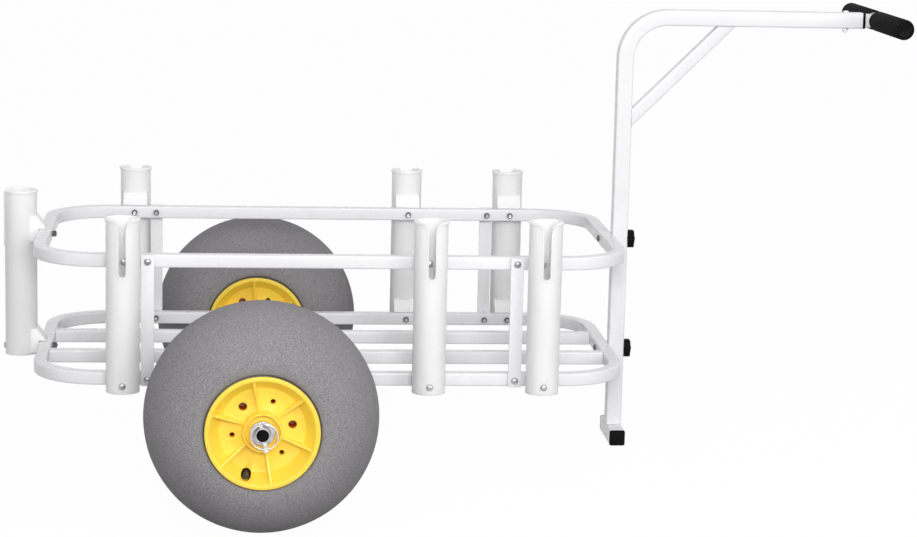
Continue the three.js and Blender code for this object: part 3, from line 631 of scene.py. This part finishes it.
def tyre():
    """The balloon: a full crown, a foot that sinks beside the hub's lip, and a hollow inside."""
    radius, half_width, bead, widest = 165, 97.3, 76.4, 88.2
    steps = 26
    roundness = 2 / 1.82
    crown = []
    for step in range(steps + 1):
        angle = math.pi * step / steps
        side = math.cos(angle)
        width = half_width * math.copysign(abs(side) ** roundness, side)
        crown.append((widest + (radius - widest) * abs(math.sin(angle)) ** roundness, width))
    foot = [
        (82.6, half_width * 0.99), (80.9, half_width * 0.975), (80.2, half_width * 0.93),
        (80, half_width * 0.895), (bead, half_width * 0.89),
    ]
    lining = [(bead, half_width * 0.88), (118, half_width * 0.82), (157, 24)]
    near = list(reversed(foot))
    far = [(r, -w) for r, w in foot]
    back = [(r, -w) for r, w in lining] + [(r, w) for r, w in reversed(lining)]
    return turned("tyre", near + crown + far + back, steps=128, hollow=True)


hub_face, dish_floor, floor_radius = 102.2, 77.2, 60
boss_end, hub_wall = 95.4, 3
lip_radius, lip_width, lip_back = 79.2, 6, 96.9
seat_radius, back_shoulder = 76, 70.2
ring_outer, ring_inner, ring_top, ring_floor = 27, 24.4, 98.7, 89.2
barrel_outer, barrel_inner, split = 16, 13.2, 0.15
rib_thick, rib_root, rib_first = 4.2, 61.5, 100
vent_radii, vent_circle, vent_wall = (6.05, 3.75), 42, 1.8
tube_middle, tube_length = 58.5, 36
cutter_length, cutter_overrun = 92, 10
valve_radius, valve_circle, valve_angle = 7, 64.5, 250


def hub_rib():
    """A rib from the ring round the boss to the lip, sunk a little into what it meets."""
    inner, outer = ring_inner + 1.2, lip_radius - lip_width + 1.2
    outline = [
        (inner, dish_floor - 1.5),
        (inner, dish_floor + 6.5),
        (outer, hub_face - 2),
        (outer, hub_face - 5.3),
        (rib_root, dish_floor - 1.5),
    ]
    rib = plate("rib", outline, rib_thick)
    return turned_by(soften(rib, 1.3, 3), 90, "X")


def round_cutter(radius, circle, angle):
    tool = turned_by(cylinder("round_cutter", radius, cutter_length, 40), 90, "X")
    x = circle * math.cos(math.radians(angle))
    z = circle * math.sin(math.radians(angle))
    return moved(tool, x, -hub_face + cutter_overrun, z)


def hub_half(with_valve):
    """One dished half of the hub: the section is turned, then ribs are added and holes are cut."""
    lip = [
        (seat_radius, split), (seat_radius, lip_back), (lip_radius, lip_back),
        (lip_radius, hub_face), (lip_radius - lip_width, hub_face),
    ]
    dish = [
        (floor_radius, dish_floor), (ring_outer, dish_floor), (ring_outer, ring_top),
        (ring_inner, ring_top), (ring_inner, ring_floor),
    ]
    barrel = [
        (barrel_outer, ring_floor), (barrel_outer, boss_end), (barrel_inner, boss_end),
        (barrel_inner, split), (barrel_outer, split),
    ]
    back = [
        (barrel_outer, dish_floor - hub_wall), (rib_root, dish_floor - hub_wall),
        (back_shoulder, lip_back - hub_wall), (seat_radius - hub_wall, split),
    ]
    profile = lip + dish + barrel + back
    hub = turned("hub", [(r, -depth) for r, depth in profile], steps=120, hollow=True, rounding=1.1)
    ribs, holes = [], []
    for index in range(6):
        angle = rib_first + 60 * index
        ribs.append(turned_by(hub_rib(), -angle, "Y"))
        if not (with_valve and index == 2):
            size = vent_radii[index % 2]
            holes.append(round_cutter(size, vent_circle, angle + 30))
            vent = turned_by(cylinder("vent", size + vent_wall, tube_length, 40), 90, "X")
            turned_by(moved(vent, x=vent_circle, y=-tube_middle), -(angle + 30), "Y")
            ribs.append(vent)
    if with_valve:
        holes.append(round_cutter(valve_radius, valve_circle, valve_angle))
    combine(hub, joined(*ribs), "UNION")
    combine(hub, joined(*holes), "DIFFERENCE")
    return soften(hub, 0.5, 2, sharper=38)


def valve():
    """A valve with a ridged cap, and its stem on a bent neck."""
    top = hub_face - 5
    cap = turned("valve", [(0, 0), (3.2, 0), (4.3, -1.2), (4.3, -11), (0, -11)], steps=32, rounding=0.5)
    edit(cap)
    bpy.ops.mesh.select_all(action="DESELECT")
    close_edit()
    for vertex in cap.data.vertices:
        turn = round(math.degrees(math.atan2(vertex.co.z, vertex.co.x)) / 11.25)
        vertex.select = turn % 4 < 2 and math.hypot(vertex.co.x, vertex.co.z) > 3.8
    bpy.ops.object.mode_set(mode="EDIT")
    bpy.ops.transform.resize(value=(0.87, 1, 0.87), center_override=(0, 0, 0))
    close_edit()
    turned_by(cap, 180, "X")
    profile = [(0, 9), (3.1, 9), (3.1, 17), (4.7, 18.5), (4.7, 26), (0, 26)]
    stem = turned("stem", profile, steps=32, rounding=0.4)
    neck = moved(turned_by(cylinder("neck", 3.3, 12, 32), 90, "Y"), x=5.6, y=19.4)
    whole = joined(cap, combine(stem, neck, "UNION"))
    turned_by(whole, -valve_angle, "Y")
    x = valve_circle * math.cos(math.radians(valve_angle))
    z = valve_circle * math.sin(math.radians(valve_angle))
    return moved(whole, x, -top, z)


# Axle, bushes, washers and linch pins

axle_radius, axle_wall, axle_reach = 10.2, 1.5, 113.3
beam_length, beam_size, beam_edge, beam_wall = 549, 26, 2.6, 2.5
bush_inner, bush_outer, bush_waist = 10.5, 15.4, 12.9
bush_end, bush_collar, washer_face = 97.7, 95.7, 100.5
axle_washer_radius, axle_washer_thick = 17, 2.5
plug_start, linch_station = 109, 105.3
pin_hole, linch_lean, linch_eye, eye_radius = 3.3, 13, 21.5, 2.1
wire_radius, wire_ring, wire_gap, ring_stand = 1.1, 18.3, 3.2, 4.5


def axle_tube():
    end = wheel_side + axle_reach
    inner = axle_radius - axle_wall
    wall = [(inner, -end), (axle_radius, -end), (axle_radius, end), (inner, end)]
    axle = turned("axle", wall, steps=48, hollow=True, rounding=0.4)
    for side in (-1, 1):
        hole = turned_by(cylinder("pin_hole", pin_hole, 40, 24), side * linch_lean, "Y")
        combine(axle, moved(hole, y=side * (wheel_side + linch_station)), "DIFFERENCE")
    return soften(axle, 0.25, 2, sharper=50)


def square_beam():
    beam = tube_bar("axle_beam", beam_length, beam_size, beam_edge)
    bore = tube_bar("beam_bore", beam_length + 20, beam_size - 2 * beam_wall, 1)
    combine(beam, bore, "DIFFERENCE")
    return turned_by(soften(beam, 0.3, 2, sharper=50), 90, "Z")


def bush():
    wall = [
        (bush_inner, -bush_end), (bush_outer, -bush_end),
        (bush_outer, -bush_collar), (bush_waist, -bush_collar),
        (bush_waist, bush_collar), (bush_outer, bush_collar),
        (bush_outer, bush_end), (bush_inner, bush_end),
    ]
    return turned("bush", wall, steps=48, hollow=True, rounding=0.5)


def flat_washer(inner, outer, thickness):
    wall = [(inner, 0), (outer, 0), (outer, thickness), (inner, thickness)]
    return turned("washer", wall, steps=48, hollow=True, rounding=min(0.5, thickness * 0.3))


def axle_plug():
    radius = axle_radius - 1.8
    profile = [
        (0, -axle_reach + 0.5), (radius * 0.5, -axle_reach + 0.35), (radius - 1.2, -axle_reach),
        (radius, -axle_reach + 0.8), (radius, -plug_start), (0, -plug_start),
    ]
    return turned("axle_plug", profile, steps=40)


def linch_pin():
    shank, head = 3, 4.5
    profile = [
        (0, 18.6), (shank - 1.2, 18.6), (shank, 16.8), (shank, -16.4), (head - 0.6, -17.5), (head, -18.3),
        (head, -24.6), (head - 0.9, -25.5), (0, -25.5),
    ]
    pin = turned_by(turned("linch_pin", profile, steps=32), 90, "X")
    eye = moved(turned_by(cylinder("eye", eye_radius, 30, 24), 90, "Y"), z=-linch_eye)
    combine(pin, eye, "DIFFERENCE")
    return moved(soften(pin, 0.35, 2, sharper=50), y=-linch_station)


def pull_ring():
    """The wire loop: a round wire led once round, open where the pin's head stands between its ends."""
    gap_angle = math.degrees(math.asin(wire_gap / wire_ring))
    section = [
        (-wire_ring + wire_radius * math.cos(angle), wire_radius * math.sin(angle), 0)
        for angle in (math.radians(30 * step) for step in range(12))
    ]
    loop = start_tube("pull_ring", section)
    lead_round(360 - 2 * gap_angle, (0, 0, 0), (0, 1, 0), 56)
    cap_end()
    clean_skin()
    close_edit()
    turned_by(loop, 90 + gap_angle, "Y")
    tilt = math.degrees(math.asin(ring_stand / (2 * wire_ring)))
    moved(loop, z=wire_ring)
    turned_by(loop, tilt, "X")
    turned_by(loop, linch_lean / 2, "Y")
    return moved(loop, y=-linch_station, z=-linch_eye)


# Handle post, brace and foot

brace_reach, cap_thick = 142, 3


def handle_post():
    """The post and the arm: one tube with a quarter bend."""
    bottom = foot_height + tube / 2 + gap
    section = [(post_x + a, b, bottom) for a, b in round_square(tube, tube_edge)]
    post = start_tube("handle_post", section)
    lead(z=arm_height - post_bend - bottom)
    lead_round(90, (post_x + post_bend, 0, arm_height - post_bend), (0, 1, 0), 24)
    lead(x=arm_end - post_x - post_bend)
    clean_skin()
    bpy.ops.mesh.select_all(action="DESELECT")
    bpy.ops.mesh.select_mode(type="EDGE")
    bpy.ops.mesh.select_non_manifold()
    bpy.ops.mesh.edge_face_add()
    clean_skin()
    close_edit()
    return post


def handle_brace():
    """A slimmer tube at 45 degrees, its ends cut to lie on the post and under the arm."""
    corner_x, corner_z = post_x + tube / 2 + gap, arm_height - tube / 2 - gap
    rise = arm_height - post_x - tube - brace_reach
    middle_x = (corner_x + corner_z - rise) / 2
    brace = tube_bar("brace", 300, rail, rail_edge)
    turned_by(brace, -45, "Y")
    moved(brace, x=middle_x, z=middle_x + rise)
    for point, normal in (((corner_x, 0, 0), (-1, 0, 0)), ((0, 0, corner_z), (0, 0, 1))):
        edit(brace)
        bpy.ops.mesh.select_all(action="SELECT")
        bpy.ops.mesh.bisect(plane_co=point, plane_no=normal, clear_outer=True, use_fill=True)
        clean_skin()
        close_edit()
    return brace


def foot_bar():
    bar = tube_bar("foot_bar", foot_width - 2 * (cap_thick + gap), tube, tube_edge)
    return turned_by(bar, 90, "Z")


def foot_cap():
    end = -foot_width / 2
    outline = round_square(tube, tube_edge)
    cap = plate("foot_cap", outline, cap_thick)
    return moved(soften(cap, 0.8, 3), y=end + cap_thick / 2)


# T-handle

bar_radius, bar_ahead, grip_span = 12, 24.3, 333.8
grip_radius, grip_start = 15.25, 13
flange_thick, plug_radius, plug_depth = 2.2, 10.2, 12.2
stem_depth, stem_inset = 62, 9


def handle_bar():
    length = grip_span - 2 * (flange_thick + gap)
    bar = cylinder("handle_bar", bar_radius, length, 64)
    turned_by(bar, 90, "X")
    reach = tube / 2 - tube_wall - gap
    stem = tube_bar("stem", stem_depth + bar_ahead - stem_inset, 2 * reach, 1.6)
    moved(stem, x=-(bar_ahead + stem_depth + stem_inset) / 2)
    combine(bar, stem, "UNION")
    return soften(bar, 1.2, 3, sharper=40)


def arm_collar():
    collar = plate("collar", round_square(tube, tube_edge), 4)
    soften(collar, 0.6, 2)
    turned_by(collar, 90, "Z")
    reach = tube / 2 - tube_wall
    hole = tube_bar("collar_hole", 20, 2 * reach, 1.8)
    combine(collar, hole, "DIFFERENCE")
    return moved(collar, x=arm_end + gap + 2, z=arm_height)


def grip():
    inner, end = bar_radius + gap, grip_span / 2
    wall = [(inner, -grip_start), (grip_radius, -grip_start), (grip_radius, -end), (inner, -end)]
    return turned("grip", wall, steps=72, hollow=True, rounding=1.7)


def grip_plug():
    end = grip_span / 2
    profile = [
        (0, -end + 0.4), (bar_radius - 2.6, -end + 0.4), (bar_radius - 1.8, -end),
        (bar_radius - 0.6, -end), (bar_radius, -end + 0.6), (bar_radius, -end + flange_thick),
        (plug_radius, -end + flange_thick), (plug_radius, -end + plug_depth), (0, -end + plug_depth),
    ]
    return turned("grip_plug", profile, steps=64)


# Knobs

def star_knob():
    """A round knob with six soft lobes and a domed boss."""
    middle, depth, thick = 13.6, 0.9, 10.2
    outline = []
    for step in range(72):
        angle = 2 * math.pi * step / 72
        radius = middle + depth * math.cos(6 * angle)
        outline.append((radius * math.cos(angle), radius * math.sin(angle)))
    body = moved(soften(plate("star_knob", outline, thick), 1.1, 3), y=-thick / 2)
    boss = [(0, -12.5), (2, -12.5), (3.2, -12.1), (6.2, -10.1), (6.2, -4), (0, -4)]
    combine(body, turned("boss", boss, steps=40), "UNION")
    turned_by(body, 90, "Z")
    return soften(body, 0.35, 2, sharper=40)


# Screws, nuts and washers, drawn along Y with the head towards -Y and its seat at zero

thread_crest, thread_root, thread_pitch = 2.5, 2.1, 1
washer_hole, washer_thick = 3.2, 1


def cross_recess():
    blades = []
    for turn in (0, 90):
        blade = plate("blade", [(-2.2, -3), (2.2, -3), (1, 1.6), (-1, 1.6)], 1)
        turned_by(blade, 90, "X")
        blades.append(turned_by(blade, turn, "Y"))
    return combine(blades[0], blades[1], "UNION")


def screw(length, head_radius=4.9, head_height=2.8, thread=10):
    """A pan-head screw with a cross recess and a threaded tail."""
    dome_shares = ((0, 1), (0.35, 0.98), (0.66, 0.84), (0.88, 0.55), (1, 0.16), (1, 0))
    dome = [(head_radius * out, -head_height * up) for out, up in dome_shares] + [(3, 0)]
    turns = []
    station = length - thread
    while station < length - 1.4:
        turns += [(thread_root, station), (thread_crest, station + thread_pitch / 2)]
        station += thread_pitch
    tail = turns + [(thread_root, length - 1.6), (1, length), (0, length)]
    made = turned("screw", dome + tail, steps=36)
    recess = moved(turned_by(cross_recess(), 180, "Z"), y=-head_height + 1.5)
    return combine(made, recess, "DIFFERENCE")


def hex_nut(width=8, height=5):
    """A nut on its washer; its seat is at zero and its thread is cut out."""
    radius = width / 2 / math.cos(math.pi / 6)
    nut = turned_by(cylinder("nut", radius, height, 6), 90, "X")
    cone = [
        (0, -height / 2), (radius * 0.86, -height / 2), (radius * 1.02, -height / 2 + 0.9),
        (radius * 1.02, height / 2 - 0.9), (radius * 0.86, height / 2), (0, height / 2),
    ]
    combine(nut, turned("cone", cone, steps=40), "INTERSECT")
    combine(nut, turned_by(cylinder("thread", 2.6, 2 * height, 32), 90, "X"), "DIFFERENCE")
    moved(nut, y=height / 2 + 1.1)
    return joined(nut, moved(flat_washer(washer_hole, 4.5, washer_thick), y=0.05))


def cap_nut(width=9):
    """A closed nut with a dome, on the tail of the handle's bolt."""
    radius = width / 2 / math.cos(math.pi / 6)
    nut = moved(turned_by(cylinder("cap_nut", radius, 3.4, 6), 90, "X"), y=1.7)
    dome = [(0, 0.6), (3.9, 0.6), (3.9, 4.2), (3.6, 5.6), (2.7, 6.8), (1.5, 7.4), (0, 7.6)]
    combine(nut, turned("dome", dome, steps=40), "UNION")
    return soften(nut, 0.3, 2, sharper=40)


# Putting it together

for level, height in (("lower", lower), ("upper", upper)):
    settle(rail_ring(height), f"{level}_rail", "white_paint", [f"{level}_ring"])

slat_length = basket_front - basket_rear - rail - 2 * gap
first_slat = tube_bar("slat", slat_length, rail, rail_edge)
first_upright = upright_bar()
for side_name, side in (("right", -1), ("left", 1)):
    place = at((basket_front + basket_rear) / 2, side * slat_side, lower)
    replaced = [f"floor_slat_{side_name}"]
    settle(twin(first_slat, "slat"), f"slat_{side_name}", "white_paint", replaced, place)
    for station, x in upright_stations.items():
        y = side * (rail_face + gap + upright_thick / 2)
        settle(
            twin(first_upright, "upright"),
            f"upright_bar_{station}_{side_name}",
            "white_paint",
            [f"upright_{station}_{side_name}"],
            at(x, y, (lower + upper) / 2),
        )
bpy.data.objects.remove(first_slat)
bpy.data.objects.remove(first_upright)

holder_places = {"end": at(basket_rear - holder_offset, 0, 0, -90)}
for station, x in holder_stations.items():
    holder_places[f"{station}_right"] = at(x, -rail_side - holder_offset, 0)
    holder_places[f"{station}_left"] = at(x, rail_side + holder_offset, 0, 180)
first_holder = rod_holder()
for name, place in holder_places.items():
    settle(twin(first_holder, "holder"), f"holder_{name}", "white_plastic", [f"rod_holder_{name}"], place)
bpy.data.objects.remove(first_holder)

first_tyre = tyre()
for side_name, side, turn in (("right", -1, 0), ("left", 1, 180)):
    wheel = at(0, side * wheel_side, 0, turn)
    settle(
        twin(first_tyre, "tyre"), f"balloon_tyre_{side_name}", "tyre_rubber",
        [f"tyre_{side_name}"], wheel, f"wheel_{side_name}", smooth=60,
    )
bpy.data.objects.remove(first_tyre)

first_outer, first_inner = hub_half(True), hub_half(False)
first_valve, first_bush, first_plug = valve(), bush(), axle_plug()
first_washer = moved(flat_washer(bush_inner, axle_washer_radius, axle_washer_thick), y=-washer_face)
first_pin, first_loop = linch_pin(), pull_ring()
left_roll = -6
for side_name, side, turn, rolled in (("right", -1, 0, 0), ("left", 1, 180, left_roll)):
    wheel = at(0, side * wheel_side, 0, turn)
    spun = wheel @ at(turn=rolled, axis="Y")
    leaning = wheel @ at(turn=-linch_lean, axis="Y")
    spinning, still = f"wheel_{side_name}", "frame"
    for made, name, slot, node, place, body, finish in (
        (first_outer, "hub_front", "yellow_plastic", "hub_outer", spun, spinning, None),
        (first_inner, "hub_back", "yellow_plastic", "hub_inner", spun @ at(turn=180), spinning, None),
        (first_valve, "valve_stem", "black_plastic", "valve", spun, spinning, valve_finish),
        (first_bush, "sleeve_bush", "bush_plastic", "bush", wheel, spinning, None),
        (first_washer, "axle_washer", "zinc_steel", "washer", wheel, still, screw_finish),
        (first_plug, "axle_end_plug", "black_plastic", "axle_plug", wheel, still, None),
        (first_pin, "retaining_pin", "zinc_steel", "linch_pin", leaning, still, None),
        (first_loop, "pull_ring", "zinc_steel", "linch_ring", leaning, f"linch_ring_{side_name}", None),
    ):
        part, replaced = twin(made, "wheel_part"), [f"{node}_{side_name}"]
        settle(part, f"{name}_{side_name}", slot, replaced, place, body, finish=finish)
for made in (
    first_outer, first_inner, first_valve, first_bush,
    first_plug, first_washer, first_pin, first_loop,
):
    bpy.data.objects.remove(made)
settle(axle_tube(), "axle_rod", "zinc_steel", ["axle"], finish=screw_finish)
settle(square_beam(), "beam", "white_paint", ["axle_beam"])

settle(handle_post(), "post", "white_paint", ["handle_post"])
settle(handle_brace(), "brace", "white_paint", ["handle_brace"])
settle(foot_bar(), "foot", "white_paint", ["foot_bar"], at(post_x, 0, foot_height))
first_cap = foot_cap()
for side_name, turn in (("right", 0), ("left", 180)):
    place, replaced = at(post_x, 0, foot_height, turn), [f"foot_cap_{side_name}"]
    settle(twin(first_cap, "cap"), f"foot_end_{side_name}", "black_plastic", replaced, place)
bpy.data.objects.remove(first_cap)

settle(arm_collar(), "collar", "black_plastic", ["arm_collar"])
tee = at(arm_end + bar_ahead, 0, arm_height)
settle(handle_bar(), "cross_bar", "white_paint", ["handle_bar"], tee)
first_grip, first_end = grip(), grip_plug()
for side_name, turn in (("right", 0), ("left", 180)):
    place, replaced = tee @ at(turn=turn), [f"grip_{side_name}"]
    foam_grip = settle(twin(first_grip, "grip"), f"foam_grip_{side_name}", "foam", replaced, place)
    replaced = [f"grip_plug_{side_name}"]
    settle(twin(first_end, "end"), f"grip_end_{side_name}", "black_plastic", replaced, place)
bpy.data.objects.remove(first_grip)
bpy.data.objects.remove(first_end)

# The knobs, and every screw with its nut

post_front = post_x + tube / 2
first_knob = star_knob()
first_knob_bolt = screw(tube + rail + 8, thread=6)
for level, height in (("lower", lower), ("upper", upper)):
    place, name = at(post_front + gap, 0, height), f"knob_{level}"
    settle(twin(first_knob, "knob"), f"star_{name}", "black_plastic", [name], place, body=name)
    seat = at(basket_front - rail / 2 - gap, 0, height, -90)
    settle(
        twin(first_knob_bolt, "bolt"), f"knob_screw_{level}", "zinc_steel",
        [f"knob_bolt_{level}"], seat, finish=nut_finish,
    )
bpy.data.objects.remove(first_knob)
bpy.data.objects.remove(first_knob_bolt)

first_nut = hex_nut()


def fasten(first_screw, name, grip_length, nodes, seat, finish):
    """A screw at its seat and its nut behind what it holds."""
    settle(twin(first_screw, "screw"), f"{name}_screw", "zinc_steel", nodes, seat, finish=finish)
    behind = seat @ at(y=grip_length)
    settle(twin(first_nut, "nut"), f"{name}_nut", "zinc_steel", (), behind, finish=nut_finish)


upright_grip = rail + upright_thick + gap
upright_screw = moved(screw(upright_grip + 10), y=-washer_thick)
upright_washer = moved(flat_washer(washer_hole, 5.3, washer_thick), y=-washer_thick - 0.02)
upright_screw = joined(upright_screw, upright_washer)
for side_name, side, turn in (("right", -1, 0), ("left", 1, 180)):
    for station, x in upright_stations.items():
        for level, height in (("lower", lower), ("upper", upper)):
            seat = at(x, side * (rail_face + gap + upright_thick), height, turn)
            name = f"upright_{station}_{level}_{side_name}"
            fasten(upright_screw, name, upright_grip, (), seat, screw_finish)

holder_grip = pipe_radius + pad_reach + gap + rail
long_grip = holder_grip + pipe_radius + gap
inner_wall = pipe_radius - pipe_wall
short_grip = holder_grip - inner_wall
long_screw, short_screw = screw(long_grip + 8), screw(short_grip + 8)
for name, place in holder_places.items():
    low_seat = place @ at(0, -pipe_radius - gap, lower)
    fasten(long_screw, f"butt_{name}", long_grip, [f"holder_bolt_{name}"], low_seat, screw_finish)
    # Painted light: the pad screws sit deep in the bore and get the brighter zinc instead of the screw plating, to
    # lift them out of the shade there.
    high_seat = place @ at(0, inner_wall, upper)
    fasten(short_screw, f"pad_{name}", short_grip, (), high_seat, finishes["zinc_steel"])

handle_grip, screw_inset = tube + 2 * gap, 24.3
handle_seat = at(arm_end - screw_inset, 0, arm_height + tube / 2 + gap) @ at(turn=-90, axis="X")
handle_screw = screw(handle_grip + 4, head_height=2.5)
settle(handle_screw, "handle_screw", "zinc_steel", ["handle_bolt"], handle_seat)
settle(cap_nut(), "handle_nut", "zinc_steel", (), handle_seat @ at(y=handle_grip))
for made in (upright_screw, long_screw, short_screw, first_nut):
    bpy.data.objects.remove(made)

# Floor, backdrop and light

def white_for_camera(tree, seen, other):
    """A number that is one thing for what the camera, metal and glass see and another for the rest."""
    rays = tree.nodes.new("ShaderNodeLightPath")
    total = rays.outputs["Is Camera Ray"]
    for name in ("Is Glossy Ray", "Is Transmission Ray"):
        add = tree.nodes.new("ShaderNodeMath")
        add.operation = "ADD"
        add.use_clamp = True
        tree.links.new(total, add.inputs[0])
        tree.links.new(rays.outputs[name], add.inputs[1])
        total = add.outputs[0]
    span = tree.nodes.new("ShaderNodeMapRange")
    span.inputs["To Min"].default_value = other
    span.inputs["To Max"].default_value = seen
    tree.links.new(total, span.inputs["Value"])
    return span.outputs["Result"]


def studio_floor():
    """White paper: it takes the shadow and, to the camera, glows almost as white as the backdrop."""
    bpy.ops.mesh.primitive_plane_add(size=30, location=(0, 0, 0))
    floor = bpy.context.object
    floor.name = "studio_floor"
    paper = bpy.data.materials.new("white_paper")
    paper.use_nodes = True
    tree = paper.node_tree
    output = tree.nodes["Material Output"]
    shader = tree.nodes["Principled BSDF"]
    shader.inputs["Roughness"].default_value = 0.9
    shader.inputs["Specular IOR Level"].default_value = 0
    tree.links.new(white_for_camera(tree, 0.95, 0.3), shader.inputs["Base Color"])
    glow = tree.nodes.new("ShaderNodeEmission")
    glow.inputs["Color"].default_value = (1, 1, 1, 1)
    glow.inputs["Strength"].default_value = 1
    mix = tree.nodes.new("ShaderNodeMixShader")
    tree.links.new(white_for_camera(tree, 0.975, 0), mix.inputs["Fac"])
    tree.links.new(shader.outputs[0], mix.inputs[1])
    tree.links.new(glow.outputs[0], mix.inputs[2])
    tree.links.new(mix.outputs[0], output.inputs["Surface"])
    floor.data.materials.append(paper)


def white_room():
    world = bpy.data.worlds.new("white_room")
    bpy.context.scene.world = world
    world.use_nodes = True
    tree = world.node_tree
    background = tree.nodes["Background"]
    background.inputs["Color"].default_value = (1, 1, 1, 1)
    tree.links.new(white_for_camera(tree, 1.0, 0.51), background.inputs["Strength"])


def soft_lamp(name, location, target, width, height, power):
    """A softbox that looks at the target; its power is in watts."""
    lamp = bpy.data.lights.new(name, "AREA")
    lamp.shape = "RECTANGLE"
    lamp.size, lamp.size_y, lamp.energy = width, height, power
    holder = bpy.data.objects.new(name, lamp)
    holder.location = location
    holder.rotation_euler = (Vector(target) - Vector(location)).to_track_quat("-Z", "Y").to_euler()
    bpy.context.scene.collection.objects.link(holder)


studio_floor()
white_room()
soft_lamp("front_lamp", (0.0, -4.1, 1.5), (0.05, 0, 0.3), 1.2, 0.8, 76)
soft_lamp("right_lamp", (1.6, -2.6, 1.1), (0.05, 0, 0.3), 1.2, 1.6, 25)
soft_lamp("left_lamp", (-1.6, -2.4, 1.0), (-0.1, 0, 0.3), 1.2, 1.6, 6.5)
soft_lamp("top_lamp", (-0.2, -1.3, 2.2), (-0.2, 0.2, 0.2), 1.0, 0.8, 4)

bpy.context.scene.view_settings.view_transform = "Standard"
